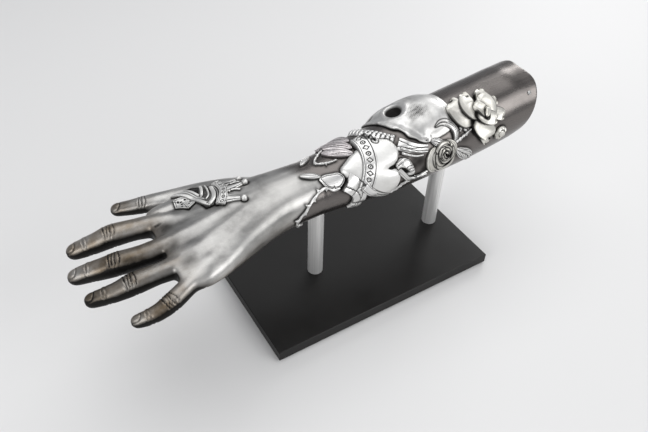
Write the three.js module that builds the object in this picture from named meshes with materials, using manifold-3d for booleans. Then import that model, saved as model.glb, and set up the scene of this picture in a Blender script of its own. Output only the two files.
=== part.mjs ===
// Cosmetic prosthetic arm: a cast left hand, a hollow forearm with raised ornament and an inner socket,
// lifted off its two-post display stand. Millimetres, +Z up. The origin is the centre of the stand's
// underside, the hand points along -X, and the back of the hand faces up.
import * as THREE from "three";
import { mergeVertices } from "three/addons/utils/BufferGeometryUtils.js";
import Module from "manifold-3d";

const wasm = await Module();
wasm.setup();

// ---- Driving dimensions -----------------------------------------------------------------------------

const GAP = 0.3; // between pieces that touch
const RELIEF_GAP = 0.45; // under a raised ornament, so that its facets stay clear of the shell's
const LAYER_GAP = 0.7; // round an ornament that crosses another one

const PAD_THICKNESS = 1.2; // the felt sheet that the plate rests on
const PAD_GAP = 0.1; // glue line between felt and plate
const PAD_INSET = 4; // from the plate's sides to the felt's
const PLATE_LENGTH = 290;
const PLATE_WIDTH = 170;
const PLATE_THICKNESS = 13.5;
const PLATE_EDGE = 0.8; // bevel of the plate's top edge
const POST_DIAMETER = 18;
const FRONT_POST_X = -50;
const REAR_POST_X = 121;
const FRONT_POST_LENGTH = 103; // from the plate up to the shoulder; the rear post's follows the arm
const SPIGOT_DIAMETER = 10;
const SPIGOT_LENGTH = 8;
const SPIGOT_CLEARANCE = 0.4; // round the spigot, all round
const BUSH_DIAMETER = 17;
const BUSH_LENGTH = 10.5;
const SCREW_DIAMETER = 8;
const SCREW_HEAD_DIAMETER = 13;
const SCREW_HEAD_HEIGHT = 6;
const SCREW_LENGTH = 26; // under the head
const SCREW_CLEARANCE = 0.35;

const SEAM_X = -60; // where the hand meets the forearm
const FOREARM_LENGTH = 286; // from the seam to the elbow rim
const SHELL_WALL = 4;
const BULKHEAD_THICKNESS = 26; // closes the forearm behind the wrist and carries the front bush
const WRIST_BOLT_DIAMETER = 10;
const WRIST_HEAD_DIAMETER = 20;
const WRIST_HEAD_HEIGHT = 6;
const WRIST_BOLT_REACH = 30; // into the hand
const SOCKET_WALL = 3;
const SOCKET_DEPTH = 150; // from the elbow rim to the closed end
const SOCKET_AIR = 8.5; // between the shell's wall and the closed end of the socket
const SOCKET_FIT = 0.6; // between the shell's wall and the socket's mouth
const SOCKET_SETBACK = 4; // of the socket's lip behind the elbow rim
const NEAR_TRIM_ANGLE = 49; // from the top; the far screw is straight across
const FAR_TRIM_ANGLE = NEAR_TRIM_ANGLE - 180;
const TRIM_SCREW_SETBACK = 14; // from the elbow rim
const TRIM_SCREW_DIAMETER = 3;
const TRIM_HEAD_DIAMETER = 6;
const TRIM_HEAD_HEIGHT = 1.6;

// Bare forearm: share of its length, rise of the centre, half width, half height.
const FOREARM_SECTIONS = [
  [0, 0, 33, 27.8],
  [0.16, 1.5, 36.5, 32],
  [0.33, 4.5, 40.8, 37.4],
  [0.5, 10, 42.8, 40.6],
  [0.68, 15, 43.5, 42.2],
  [0.84, 20.5, 43, 42],
  [1, 28, 42, 41.5],
];
// Elbow rim: angle from the top, setback of the trim line.
const RIM_TRIM = [
  [-180, 34],
  [-110, 18],
  [-40, 0],
  [0, 5],
  [40, 1],
  [110, 18],
  [180, 34],
];
// Palm: distance from the seam, sideways shift, rise of the centre, half width, half height.
const PALM_SECTIONS = [
  [0, 0, 0, 33, 27.8],
  [37, 0, 0, 34.5, 26.5],
  [60, -1, 0, 38.5, 25],
  [85, -5, 1, 43, 22.5],
  [110, -13, 2.5, 47.5, 19.5],
  [135, -19, 3, 51, 17],
  [155, -20.5, 3, 51, 14.5],
  [168, -20, 2.5, 45, 11],
];
const PALM_SQUARENESS = 2.3; // exponent of the palm's section

// Each finger: centre line from inside the palm to the tip, as [x, y, rise over the wrist's centre],
// and half width and half height at shares of its length.
const FINGERS = {
  index: {
    line: [[-190, 8, 4], [-216, 21, 4.5], [-236, 28.5, 3], [-262, 36, -1], [-283, 41, -8], [-305, 48, -14.5]],
    girth: [[0, 10, 9], [0.2, 12.5, 12.5], [0.42, 11.2, 10.6], [0.62, 12, 11], [0.8, 10.4, 9.4], [1, 8.6, 7.4]],
  },
  middle: {
    line: [[-190, -18, 5], [-222, -12, 5.5], [-246, -8.5, 3.5], [-267, -3, -0.5], [-290, 6.5, -8], [-313, 16, -15]],
    girth: [[0, 10, 9], [0.2, 12, 12.8], [0.42, 11.2, 10.6], [0.62, 12, 11], [0.8, 10.3, 9.4], [1, 8.4, 7.2]],
  },
  ring: {
    line: [[-190, -40, 4], [-222, -38.5, 4.5], [-242, -36, 2.5], [-260, -33, -1],
      [-286, -28.5, -8], [-308, -19.5, -14.5]],
    girth: [[0, 10, 9], [0.2, 11.5, 12], [0.42, 10.2, 9.8], [0.6, 11.2, 10.3], [0.8, 8.9, 8.3], [1, 7.6, 6.6]],
  },
  little: {
    line: [[-182, -52, 1], [-207, -57.5, 3], [-224, -63.5, 2], [-243, -71, -1], [-262, -71.5, -7], [-280, -64.5, -13]],
    girth: [[0, 9, 8], [0.2, 10.5, 10.6], [0.4, 9, 9], [0.58, 9.2, 8.8], [0.8, 7.8, 7.2], [1, 6.6, 5.8]],
  },
  thumb: {
    line: [[-100, 16, -2], [-130, 33, -3], [-165, 51, -4], [-200, 64, -5], [-224, 74, -9.5], [-248, 87, -14.5]],
    girth: [[0, 18, 18], [0.22, 20, 17], [0.42, 16, 14], [0.6, 11.5, 10.5], [0.8, 9.6, 8.2], [1, 7.8, 6]],
  },
  web: {
    line: [[-120, 12, 0], [-155, 26, 1], [-190, 36, 0], [-226, 40, -3]],
    girth: [[0, 22, 17], [0.4, 22, 15], [0.75, 15, 12], [1, 10, 8]],
  },
};
const FINGER_SIDES = 16;
const FINGER_STEPS = 11;
const TIP_STEPS = 3;

// ---- Materials --------------------------------------------------------------------------------------

function finish(color, metalness, roughness) {
  return new THREE.MeshStandardMaterial({ color, metalness, roughness });
}

const silver = finish(0xb5b3ae, 0.9, 0.35);
const brightSilver = finish(0xd0cfcb, 0.9, 0.3);
const gunmetal = finish(0x4d4a48, 0.8, 0.4);
const brushedSteel = finish(0xc3c3c1, 1, 0.3);
const satinBlack = finish(0x262423, 0.1, 0.5);
const fastener = finish(0xa9a9a9, 1, 0.3);
const bushing = finish(0xb08d4a, 1, 0.35);
const liner = finish(0x3a3836, 0, 0.7);
const felt = finish(0x1b1b1b, 0, 1);

// ---- Solids -----------------------------------------------------------------------------------------

function solidOf(geometry) {
  const bare = geometry.clone();
  bare.deleteAttribute("normal");
  bare.deleteAttribute("uv");
  const merged = mergeVertices(bare, 1e-4);
  const vertProperties = merged.attributes.position.array;
  const made = (triVerts) => new wasm.Manifold(new wasm.Mesh({ numProp: 3, vertProperties, triVerts }));
  const faces = new Uint32Array(merged.index.array);
  const solid = made(faces);
  return solid.volume() < 0 ? made(faces.reverse()) : solid;
}

function geometryOf(solid) {
  const { vertProperties, triVerts } = solid.getMesh();
  return new THREE.BufferGeometry()
    .setAttribute("position", new THREE.BufferAttribute(vertProperties, 3))
    .setIndex(new THREE.BufferAttribute(triVerts, 1))
    .toNonIndexed();
}

// One closed skin over a row of equal rings of points, with a fan to a point at each end.
function loft(rings, start, end) {
  const sides = rings[0].length;
  const points = [start, ...rings.flat(), end];
  const last = points.length - 1;
  const at = (ring, side) => 1 + ring * sides + (side % sides);
  const faces = [];
  for (let side = 0; side < sides; side++) {
    faces.push(0, at(0, side + 1), at(0, side));
    for (let ring = 0; ring + 1 < rings.length; ring++) {
      faces.push(at(ring, side), at(ring, side + 1), at(ring + 1, side));
      faces.push(at(ring, side + 1), at(ring + 1, side + 1), at(ring + 1, side));
    }
    faces.push(last, at(rings.length - 1, side), at(rings.length - 1, side + 1));
  }
  const geometry = new THREE.BufferGeometry().setFromPoints(points);
  geometry.setIndex(faces);
  return solidOf(geometry);
}

// A round rod along Z from one height to another.
function rod(diameter, low, high, x = 0, y = 0, sides = 28) {
  const geometry = new THREE.CylinderGeometry(diameter / 2, diameter / 2, high - low, sides);
  return solidOf(geometry.rotateX(Math.PI / 2).translate(x, y, (low + high) / 2));
}

// A round rod between two points.
function rodBetween(diameter, from, to, sides = 20) {
  const along = to.clone().sub(from);
  const geometry = new THREE.CylinderGeometry(diameter / 2, diameter / 2, along.length(), sides);
  const turn = new THREE.Quaternion().setFromUnitVectors(new THREE.Vector3(0, 1, 0), along.clone().normalize());
  const middle = from.clone().add(to).multiplyScalar(0.5);
  return solidOf(geometry.applyQuaternion(turn).translate(middle.x, middle.y, middle.z));
}

// A flat plan shape [[x, y], ...] standing from one height to another, grown sideways.
function prism(points, low, high, grow = 0) {
  const shape = new THREE.Shape(points.map(([x, y]) => new THREE.Vector2(x, y)));
  const offset = { bevelEnabled: grow > 0, bevelThickness: GAP, bevelSize: grow, bevelSegments: 1 };
  const geometry = new THREE.ExtrudeGeometry(shape, { depth: high - low, ...offset });
  return solidOf(geometry.translate(0, 0, low));
}

// Values at t on a smooth curve through rows of [t, value, value, ...].
function between(rows, t) {
  const last = rows.length - 1;
  const clamped = Math.min(Math.max(t, rows[0][0]), rows[last][0]);
  let i = 0;
  while (i < last - 1 && clamped > rows[i + 1][0]) i++;
  const slope = (a, b, k) => (rows[b][k] - rows[a][k]) / (rows[b][0] - rows[a][0]);
  const step = rows[i + 1][0] - rows[i][0];
  const u = (clamped - rows[i][0]) / step;
  return rows[0].slice(1).map((_, n) => {
    const k = n + 1;
    const m0 = slope(Math.max(i - 1, 0), i + 1, k) * step;
    const m1 = slope(i, Math.min(i + 2, last), k) * step;
    const ends = rows[i][k] * (1 + 2 * u) * (1 - u) ** 2 + rows[i + 1][k] * u * u * (3 - 2 * u);
    return ends + m0 * u * (1 - u) ** 2 - m1 * u * u * (1 - u);
  });
}

// ---- Forearm skin -----------------------------------------------------------------------------------

const PLATE_TOP = PAD_THICKNESS + PLATE_THICKNESS;
const RIM_X = SEAM_X + FOREARM_LENGTH;

// The bare arm's section at x: sideways shift, rise of the centre, half width, half height, squareness.
function sectionAt(x) {
  if (x >= SEAM_X) return [0, ...between(FOREARM_SECTIONS, (x - SEAM_X) / FOREARM_LENGTH), 2];
  const distance = SEAM_X - x;
  return [...between(PALM_SECTIONS, distance), 2 + (PALM_SQUARENESS - 2) * Math.min(distance / 60, 1)];
}

// How far the arm's underside hangs below the wrist's centre, anywhere over a post at x.
function hang(x) {
  const depth = (offset) => {
    const [, rise, , halfHeight] = sectionAt(x + offset);
    return halfHeight - rise;
  };
  return Math.max(depth(-POST_DIAMETER / 2), depth(0), depth(POST_DIAMETER / 2));
}

// Height of the wrist's centre: the forearm's underside rests just over the front post.
const WRIST_Z = PLATE_TOP + FRONT_POST_LENGTH + 2 * GAP + hang(FRONT_POST_X);

const radians = THREE.MathUtils.degToRad;

// A point on the arm at x, at an angle from the top towards -Y in degrees, lifted off the bare skin.
function onSkin(x, angle, lift = 0) {
  const [shift, rise, halfWidth, halfHeight, square] = sectionAt(x);
  const bend = (v) => Math.sign(v) * Math.abs(v) ** (2 / square);
  const side = (halfWidth + lift) * bend(Math.sin(radians(angle)));
  const up = (halfHeight + lift) * bend(Math.cos(radians(angle)));
  return new THREE.Vector3(x, shift - side, WRIST_Z + rise + up);
}

function skinRing(xAt, lift, sides) {
  return Array.from({ length: sides }, (_, i) => {
    const angle = (i * 360) / sides - 180;
    return onSkin(xAt(angle), angle, lift);
  });
}

function axisPoint(x) {
  const [shift, rise] = sectionAt(x);
  return new THREE.Vector3(x, shift, WRIST_Z + rise);
}

function skinBottom(x) {
  return WRIST_Z - hang(x);
}

// The forearm from one x to the trimmed rim (moved by setback), at a lift off the bare skin.
function forearmBody(fromX, setback, lift, steps, sides) {
  const rings = [];
  for (let i = 0; i <= steps; i++) {
    const share = i / steps;
    const endX = (angle) => RIM_X - setback - between(RIM_TRIM, angle)[0];
    const xAt = (angle) => fromX + (endX(angle) - fromX) * share;
    rings.push(skinRing(xAt, lift, sides));
  }
  const middle = RIM_X - setback - between(RIM_TRIM, 90)[0];
  return loft(rings, axisPoint(fromX), axisPoint(middle));
}

// ---- Stand ------------------------------------------------------------------------------------------

function basePlate() {
  const shape = new THREE.Shape();
  const half = [PLATE_LENGTH / 2 - PLATE_EDGE, PLATE_WIDTH / 2 - PLATE_EDGE];
  shape.moveTo(-half[0], -half[1]).lineTo(half[0], -half[1]);
  shape.lineTo(half[0], half[1]).lineTo(-half[0], half[1]);
  const bevel = { bevelThickness: PLATE_EDGE, bevelSize: PLATE_EDGE, bevelSegments: 1 };
  const depth = PLATE_THICKNESS - 2 * PLATE_EDGE;
  const slab = new THREE.ExtrudeGeometry(shape, { depth, steps: 1, ...bevel });
  let plate = solidOf(slab.translate(0, 0, PAD_THICKNESS + PLATE_EDGE));
  for (const x of [FRONT_POST_X, REAR_POST_X]) {
    const headRoom = PAD_THICKNESS + SCREW_HEAD_HEIGHT + 1;
    plate = plate
      .subtract(rod(SCREW_DIAMETER + 2 * SCREW_CLEARANCE, 0, PLATE_TOP + 1, x))
      .subtract(rod(SCREW_HEAD_DIAMETER + 2 * SCREW_CLEARANCE, 0, headRoom, x));
  }
  return plate;
}

function basePad() {
  const height = PAD_THICKNESS - PAD_GAP;
  const sheet = new THREE.BoxGeometry(PLATE_LENGTH - 2 * PAD_INSET, PLATE_WIDTH - 2 * PAD_INSET, height);
  return solidOf(sheet.translate(0, 0, height / 2));
}

function post(x) {
  const shoulder = skinBottom(x) - GAP;
  const screwHole = rod(SCREW_DIAMETER + 2 * SCREW_CLEARANCE, 0, screwTop() + 2, x);
  return rod(POST_DIAMETER, PLATE_TOP + GAP, shoulder, x)
    .add(rod(SPIGOT_DIAMETER, shoulder - 1, shoulder + SPIGOT_LENGTH, x))
    .subtract(screwHole);
}

function screwTop() {
  return PAD_THICKNESS + 1 + SCREW_HEAD_HEIGHT - GAP + SCREW_LENGTH;
}

function postScrew(x) {
  const headLow = PAD_THICKNESS + 1 - GAP;
  const key = new THREE.CylinderGeometry(3.4, 3.4, SCREW_HEAD_HEIGHT, 6);
  return rod(SCREW_HEAD_DIAMETER, headLow, headLow + SCREW_HEAD_HEIGHT, x)
    .add(rod(SCREW_DIAMETER, headLow + 1, screwTop(), x))
    .subtract(solidOf(key.rotateX(Math.PI / 2).translate(x, 0, headLow)));
}

// ---- Arm shells -------------------------------------------------------------------------------------

function bushPocket(x) {
  return rod(BUSH_DIAMETER + 2 * GAP, skinBottom(x) - 20, skinBottom(x) + BUSH_LENGTH + GAP, x);
}

function bush(x) {
  const low = skinBottom(x) + GAP;
  const bore = rod(SPIGOT_DIAMETER + 2 * SPIGOT_CLEARANCE, low - 5, skinBottom(x) + SPIGOT_LENGTH + GAP, x);
  return rod(BUSH_DIAMETER, low, skinBottom(x) + BUSH_LENGTH, x).subtract(bore);
}

function alongX(diameter, fromX, toX, sides) {
  const height = WRIST_Z;
  return rodBetween(diameter, new THREE.Vector3(fromX, 0, height), new THREE.Vector3(toX, 0, height), sides);
}

const BULKHEAD_X = SEAM_X + BULKHEAD_THICKNESS;
const HOLLOW_STEP = 14; // between the hollow's rings, short enough that its facets clear the socket

function trimScrewLine(angle, fromLift, toLift) {
  const x = RIM_X - TRIM_SCREW_SETBACK - between(RIM_TRIM, angle)[0];
  return [onSkin(x, angle, fromLift), onSkin(x, angle, toLift)];
}

function trimScrewHole(angle) {
  const [inside, outside] = trimScrewLine(angle, -SHELL_WALL - SOCKET_AIR - SOCKET_WALL - 4, 6);
  return rodBetween(TRIM_SCREW_DIAMETER + 2 * GAP, inside, outside, 16);
}

function forearmShell() {
  const outer = forearmBody(SEAM_X + GAP, 0, 0, 22, 40);
  const hollow = forearmBody(BULKHEAD_X, -60, -SHELL_WALL, Math.round(FOREARM_LENGTH / HOLLOW_STEP), 32);
  return outer
    .subtract(hollow)
    .subtract(bushPocket(FRONT_POST_X))
    .subtract(bushPocket(REAR_POST_X))
    .subtract(alongX(WRIST_BOLT_DIAMETER + 2 * GAP, SEAM_X - 5, BULKHEAD_X + 5))
    .subtract(trimScrewHole(NEAR_TRIM_ANGLE))
    .subtract(trimScrewHole(FAR_TRIM_ANGLE));
}

// The socket's outside: close to the shell at its mouth, and clear of the bush at its closed end.
function socketBody(inset, mouthX) {
  const endX = RIM_X - SOCKET_DEPTH + inset;
  const steps = 12;
  const rings = [];
  for (let i = 0; i <= steps; i++) {
    const share = i / steps;
    const dome = Math.sqrt(Math.max(1 - (1 - Math.min(share / 0.25, 1)) ** 2, 0.02));
    const air = SOCKET_FIT + (SOCKET_AIR - SOCKET_FIT) * (1 - THREE.MathUtils.smoothstep(share, 0.55, 0.95));
    const xAt = (angle) => endX + (mouthX(angle) - endX) * share;
    const lift = -SHELL_WALL - air - inset;
    const ring = skinRing(xAt, lift, 28);
    rings.push(ring.map((p) => axisPoint(p.x).lerp(p, dome)));
  }
  const mouthMiddle = mouthX(90);
  return loft(rings, axisPoint(endX), axisPoint(mouthMiddle));
}

function innerSocket() {
  const lip = (angle) => RIM_X - SOCKET_SETBACK - between(RIM_TRIM, angle)[0];
  const outside = socketBody(0, lip);
  const inside = socketBody(SOCKET_WALL, (angle) => lip(angle) + 12);
  return outside
    .subtract(inside)
    .subtract(bushPocket(REAR_POST_X))
    .subtract(trimScrewHole(NEAR_TRIM_ANGLE))
    .subtract(trimScrewHole(FAR_TRIM_ANGLE));
}

function trimScrew(angle) {
  const [under, over] = trimScrewLine(angle, GAP + 0.15, GAP + 0.15 + TRIM_HEAD_HEIGHT);
  const [tip, neck] = trimScrewLine(angle, -SHELL_WALL - SOCKET_WALL - 1, GAP + 1);
  return rodBetween(TRIM_HEAD_DIAMETER, under, over, 16).add(rodBetween(TRIM_SCREW_DIAMETER, tip, neck, 12));
}

function wristBolt() {
  const headFrom = BULKHEAD_X + GAP;
  return alongX(WRIST_HEAD_DIAMETER, headFrom, headFrom + WRIST_HEAD_HEIGHT, 6).add(
    alongX(WRIST_BOLT_DIAMETER, SEAM_X - WRIST_BOLT_REACH, headFrom + 1, 16),
  );
}

// ---- Hand -------------------------------------------------------------------------------------------

function palm(grow) {
  const length = PALM_SECTIONS.at(-1)[0];
  const steps = 13;
  const sides = 32;
  const rings = Array.from({ length: steps + 1 }, (_, i) => {
    const x = SEAM_X - Math.max((length * i) / steps, 1e-3);
    return skinRing(() => x, grow, sides);
  });
  return loft(rings, axisPoint(SEAM_X - 1e-3), axisPoint(SEAM_X - length));
}

function finger({ line, girth }, grow) {
  const curve = new THREE.CatmullRomCurve3(line.map(([x, y, rise]) => new THREE.Vector3(x, y, WRIST_Z + rise)));
  const up = new THREE.Vector3(0, 0, 1);
  const tipShare = girth.at(-1)[1] / curve.getLength();
  const shares = [];
  for (let i = 0; i < FINGER_STEPS; i++) shares.push([(i / FINGER_STEPS) * (1 - tipShare), 1]);
  for (let i = 0; i < TIP_STEPS; i++) {
    const turn = (i / TIP_STEPS) * (Math.PI / 2);
    shares.push([1 - tipShare + tipShare * Math.sin(turn), Math.cos(turn)]);
  }
  const rings = shares.map(([share, shrink]) => {
    const middle = curve.getPointAt(share);
    const along = curve.getTangentAt(share);
    const side = along.clone().cross(up).normalize();
    const over = side.clone().cross(along);
    const [halfWidth, halfHeight] = between(girth, share);
    return Array.from({ length: FINGER_SIDES }, (_, k) => {
      const angle = (k * 2 * Math.PI) / FINGER_SIDES;
      return middle
        .clone()
        .addScaledVector(side, (halfWidth * shrink + grow) * Math.sin(angle))
        .addScaledVector(over, (halfHeight * shrink + grow) * Math.cos(angle));
    });
  });
  const tip = curve.getPointAt(1).addScaledVector(curve.getTangentAt(1), grow);
  return loft(rings, curve.getPointAt(0), tip);
}

function hand(grow = 0) {
  return Object.values(FINGERS).reduce((sum, one) => sum.add(finger(one, grow)), palm(grow));
}

const handClearance = hand(GAP);

function handCasting() {
  const boltHole = alongX(WRIST_BOLT_DIAMETER + 2 * GAP, SEAM_X - WRIST_BOLT_REACH - 2, SEAM_X + 5);
  return hand().subtract(boltHole).subtract(bushPocket(FRONT_POST_X));
}

// ---- Raised ornament on the forearm -----------------------------------------------------------------

// All ornament is laid out on the skin as [x, angle from the top].

function skinRadius(x) {
  const [, , halfWidth, halfHeight] = sectionAt(x);
  return (halfWidth + halfHeight) / 2;
}

// A raised plaque round a centre, with a smooth outline: a low wall that swells to a crown.
function plaque({ centre, outline, height, edge = 1, rings = 3, sides = 26, floor = RELIEF_GAP }) {
  const flat = ([x, angle]) => new THREE.Vector3(x, radians(angle) * skinRadius(centre[0]), 0);
  const curve = new THREE.CatmullRomCurve3(outline.map(flat), true);
  const rim = curve.getSpacedPoints(sides).slice(0, sides);
  return (grow, cutting) => {
    const middle = flat(centre);
    const point = (target, share, lift) => {
      const out = target.clone().sub(middle);
      const reach = out.length();
      const flatPoint = middle.clone().addScaledVector(out, (share * (reach + grow)) / reach);
      const angle = THREE.MathUtils.radToDeg(flatPoint.y / skinRadius(centre[0]));
      return onSkin(flatPoint.x, angle, lift);
    };
    const low = cutting ? floor - RELIEF_GAP - (floor > RELIEF_GAP ? 0 : 3) : floor;
    const lift = (share) => (cutting ? height + 25 : floor + edge + (height - edge) * (1 - share ** 2.5));
    const levels = Array.from({ length: rings }, (_, i) => (i + 1) / rings);
    const bottom = levels.map((share) => rim.map((p) => point(p, share, low)));
    const top = levels.reverse().map((share) => rim.map((p) => point(p, share, lift(share))));
    const on = (h) => onSkin(centre[0], centre[1], h);
    return loft([...bottom, ...top], on(low), on(lift(0)));
  };
}

// A raised strip along a path, with a width and a height along it: vines, ribbons, leaves and petals.
function strip({ path, width, height, steps = 8, taper = 0, floor = RELIEF_GAP }) {
  const base = skinRadius(path[0][0]);
  const flat = ([x, angle]) => new THREE.Vector3(x, radians(angle) * base, 0);
  const curve = new THREE.CatmullRomCurve3(path.map(flat));
  return (grow, cutting) => {
    const low = cutting ? floor - RELIEF_GAP - (floor > RELIEF_GAP ? 0 : 3) : floor;
    const ring = (share) => {
      const clamped = Math.min(Math.max(share, 0), 1);
      const along = curve.getTangentAt(clamped);
      const overshoot = (share - clamped) * curve.getLength();
      const middle = curve.getPointAt(clamped).addScaledVector(along, overshoot);
      const slim = 1 - taper * (1 - Math.sin(Math.PI * clamped) ** 0.7);
      const half = (width * slim) / 2 + grow;
      const crest = cutting ? height + 25 : floor + height * (0.45 + 0.55 * slim);
      const flank = cutting ? crest : floor + (crest - floor) * 0.6;
      const at = (across, lift) => {
        const x = middle.x - along.y * across;
        const angle = THREE.MathUtils.radToDeg((middle.y + along.x * across) / base);
        return onSkin(x, angle, lift);
      };
      return [at(-half, low), at(0, low), at(half, low), at(half * 0.85, flank), at(0, crest), at(-half * 0.85, flank)];
    };
    const extra = grow / curve.getLength();
    const shares = Array.from({ length: steps + 1 }, (_, i) => -extra + ((1 + 2 * extra) * i) / steps);
    const rings = shares.map(ring);
    const heart = (points) => points[1].clone().add(points[4]).multiplyScalar(0.5);
    return loft(rings, heart(rings[0]), heart(rings.at(-1)));
  };
}

// From the lowest layer to the highest: a piece is cut back where a later one crosses it.
const ORNAMENT = [
  ["thorn_vine", strip({
    path: [[-41, 60], [-50, 59], [-57, 49], [-68, 57], [-79, 70], [-88, 84], [-93, 100], [-90, 122], [-80, 140]],
    width: 4.2, height: 2, steps: 20, taper: 0.5,
  })],
  ["bud_leaf", strip({ path: [[-73, 13], [-65, 20], [-56, 29]], width: 6, height: 2, steps: 6, taper: 0.85 })],
  ["small_leaf", strip({ path: [[-66, -12], [-58, -20], [-50, -30]], width: 5, height: 2, steps: 6, taper: 0.85 })],
  ["thorn_loop", strip({
    path: [[-33, -32], [-42, -20], [-51, -8], [-50, 2], [-40, 9], [-32, 10]],
    width: 3, height: 2, steps: 12, taper: 0.4,
  })],
  ["lower_petal", strip({
    path: [[-40, -16], [-30, -6], [-20, 4], [-13, 14]], width: 13, height: 3, steps: 8, taper: 0.85,
  })],
  ["upper_petal", strip({
    path: [[-38, -42], [-28, -30], [-18, -16], [-9, 2]], width: 16, height: 3.6, steps: 8, taper: 0.85,
  })],
  ["back_petal", strip({
    path: [[-24, -66], [-18, -52], [-12, -36], [-5, -16]], width: 15, height: 3.2, steps: 8, taper: 0.85,
  })],
  ["rose_stem", strip({
    path: [[14, 116], [26, 111], [36, 99], [48, 96], [62, 99]], width: 4, height: 2.4, steps: 12, taper: 0.3,
  })],
  ["scroll", plaque({
    centre: [34, 68],
    outline: [[25, 57], [32, 54], [42, 62], [46, 78], [40, 86], [33, 80], [28, 70]],
    height: 4, sides: 16, rings: 2,
  })],
  ["banner_tail_plate", plaque({
    centre: [-45, 43],
    outline: [[-57, 30], [-50, 29], [-38, 33], [-33, 41], [-33, 50], [-40, 58], [-51, 52], [-56, 42]],
    height: 2, sides: 18, rings: 2,
  })],
  ["heart", plaque({
    centre: [6, 60],
    outline: [
      [-34, 35], [-25, 23], [-12, 14], [1, 10], [15, 11], [27, 20], [32, 35], [30, 49], [23, 61],
      [29, 73], [29, 86], [22, 101], [10, 111], [-5, 103], [-18, 84], [-28, 60], [-34, 44],
    ],
    height: 6.5, edge: 1.6, sides: 34, rings: 4,
  })],
  ["teeth_row", strip({
    path: [[10, -42], [13, -28], [18, -12], [24, 2], [32, 14], [37, 22]], width: 12, height: 3.2, steps: 12, taper: 0.2,
  })],
  ["skull", plaque({
    centre: [76, -18],
    outline: [
      [109, 8], [108, 28], [102, 42], [88, 50], [70, 50], [60, 44], [52, 31], [46, 14], [39, 2], [35, -14], [33, -32],
      [30, -50], [34, -66], [44, -80], [58, -90], [76, -90], [92, -78], [103, -56], [108, -24],
    ],
    height: 8, edge: 1.6, sides: 40, rings: 5,
  })],
  ["crescent_leaf", strip({
    path: [[81, 35], [92, 33], [101, 43], [102, 57], [96, 67]], width: 8, height: 3.4, steps: 10, taper: 0.85,
  })],
  ["joining_stem", strip({
    path: [[91, 72], [101, 68], [112, 64], [121, 60]], width: 3.6, height: 2.6, steps: 6, taper: 0.2,
  })],
  ["fern_leaf", strip({
    path: [[112, 36], [112, 48], [112, 60]], width: 9, height: 2.6, steps: 6, taper: 0.6,
  })],
  ["side_leaf", strip({
    path: [[102, 82], [110, 90], [119, 99], [124, 112]], width: 15, height: 3, steps: 8, taper: 0.8,
  })],
  ["small_rose_leaf", strip({
    path: [[72, 50], [79, 58], [85, 66]], width: 9, height: 2.6, steps: 6, taper: 0.7,
  })],
  ["small_rose", plaque({
    centre: [81, 88],
    outline: [[65, 68], [74, 64], [86, 66], [97, 74], [101, 88], [95, 104], [84, 114], [71, 110], [63, 94]],
    height: 7, edge: 2.4, sides: 24, rings: 3,
  })],
  ["round_bud", plaque({
    centre: [163, 88],
    outline: [[156, 82], [163, 77], [170, 82], [171, 92], [165, 99], [157, 95]],
    height: 4.5, edge: 2, sides: 14, rings: 2,
  })],
  ["large_rose", plaque({
    centre: [140, 44],
    outline: [
      [114, 18], [122, 8], [136, 2], [148, 12], [158, 24], [164, 42], [168, 60], [160, 73], [152, 84],
      [142, 78], [132, 70], [122, 58], [116, 42],
    ],
    height: 10, edge: 3, sides: 30, rings: 4,
  })],
  ["banner_fold", strip({
    path: [[-34, 56], [-26, 68], [-20, 82], [-18, 98], [-22, 116]], width: 17, height: 2.2, steps: 8, taper: 0.15,
  })],
  ["banner_curl", plaque({
    centre: [10, 4],
    outline: [[4, -4], [10, -6], [16, 2], [17, 13], [12, 16], [7, 8]],
    height: 4.5, edge: 2, sides: 14, rings: 2,
  })],
  ["heart_banner", strip({
    path: [[0, -1], [0, 14], [-1, 28], [-4, 42], [-9, 56], [-15, 70]],
    width: 15, height: 2.2, steps: 12, floor: 6.2,
  })],
];

// ---- Raised ornament on the back of the hand --------------------------------------------------------

// Plan shapes on the hand as [x, y], and how far each stands off the skin: lowest layer first.
const HAND_ORNAMENT = [
  ["dice", [[-195, 37], [-197, 26], [-189, 14], [-179, 20], [-180, 29], [-187, 36]], 3.2],
  ["chevron_outer", [[-195, 41], [-192, 49], [-171, 26], [-159, 43], [-152, 42], [-154, 25], [-166, 3], [-175, 5]], 2.8],
  ["chevron_inner", [[-185, 47], [-178, 50], [-164, 46], [-170, 30]], 2],
  ["crown_rim", [[-152, 38], [-151, 27], [-155, 14], [-163, 3.5], [-161, 18], [-156, 30]], 2],
  ["crown_band", [[-150, 43], [-143, 39], [-143, 24], [-148, 8], [-155, -2], [-161, 2], [-154, 13], [-150, 27]], 3.4],
];
const CROWN_BASE = [[-141, 39], [-142, 24], [-147, 8], [-153, -2]];
const CROWN_TIPS = [[-124, 34], [-124, 17.5], [-137, -6.5]];
const CROWN_VALLEYS = [[-135, 27], [-140, 11]];
const CROWN_HEIGHT = 2.4;
const CROWN_BALL = 6; // diameter of the ball on each tip
const RELIEF_FLOOR = WRIST_Z - 4; // plan shapes stand between these heights before they are cut to the skin
const RELIEF_CEILING = WRIST_Z + 50;

function handRelief(outline, height) {
  return prism(outline, RELIEF_FLOOR, RELIEF_CEILING).intersect(hand(GAP + height)).subtract(handClearance);
}

function crownPoints() {
  const [left, middle, lower, right] = CROWN_BASE;
  const [tipA, tipB, tipC] = CROWN_TIPS;
  const [valleyA, valleyB] = CROWN_VALLEYS;
  const outline = [left, tipA, valleyA, tipB, valleyB, tipC, right, lower, middle];
  return CROWN_TIPS.reduce((sum, [x, y]) => {
    const circle = Array.from({ length: 10 }, (_, i) => {
      const turn = (i * Math.PI) / 5;
      return [x + (CROWN_BALL / 2) * Math.cos(turn), y + (CROWN_BALL / 2) * Math.sin(turn)];
    });
    return sum.add(handRelief(circle, CROWN_HEIGHT + 1.4));
  }, handRelief(outline, CROWN_HEIGHT));
}

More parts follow.
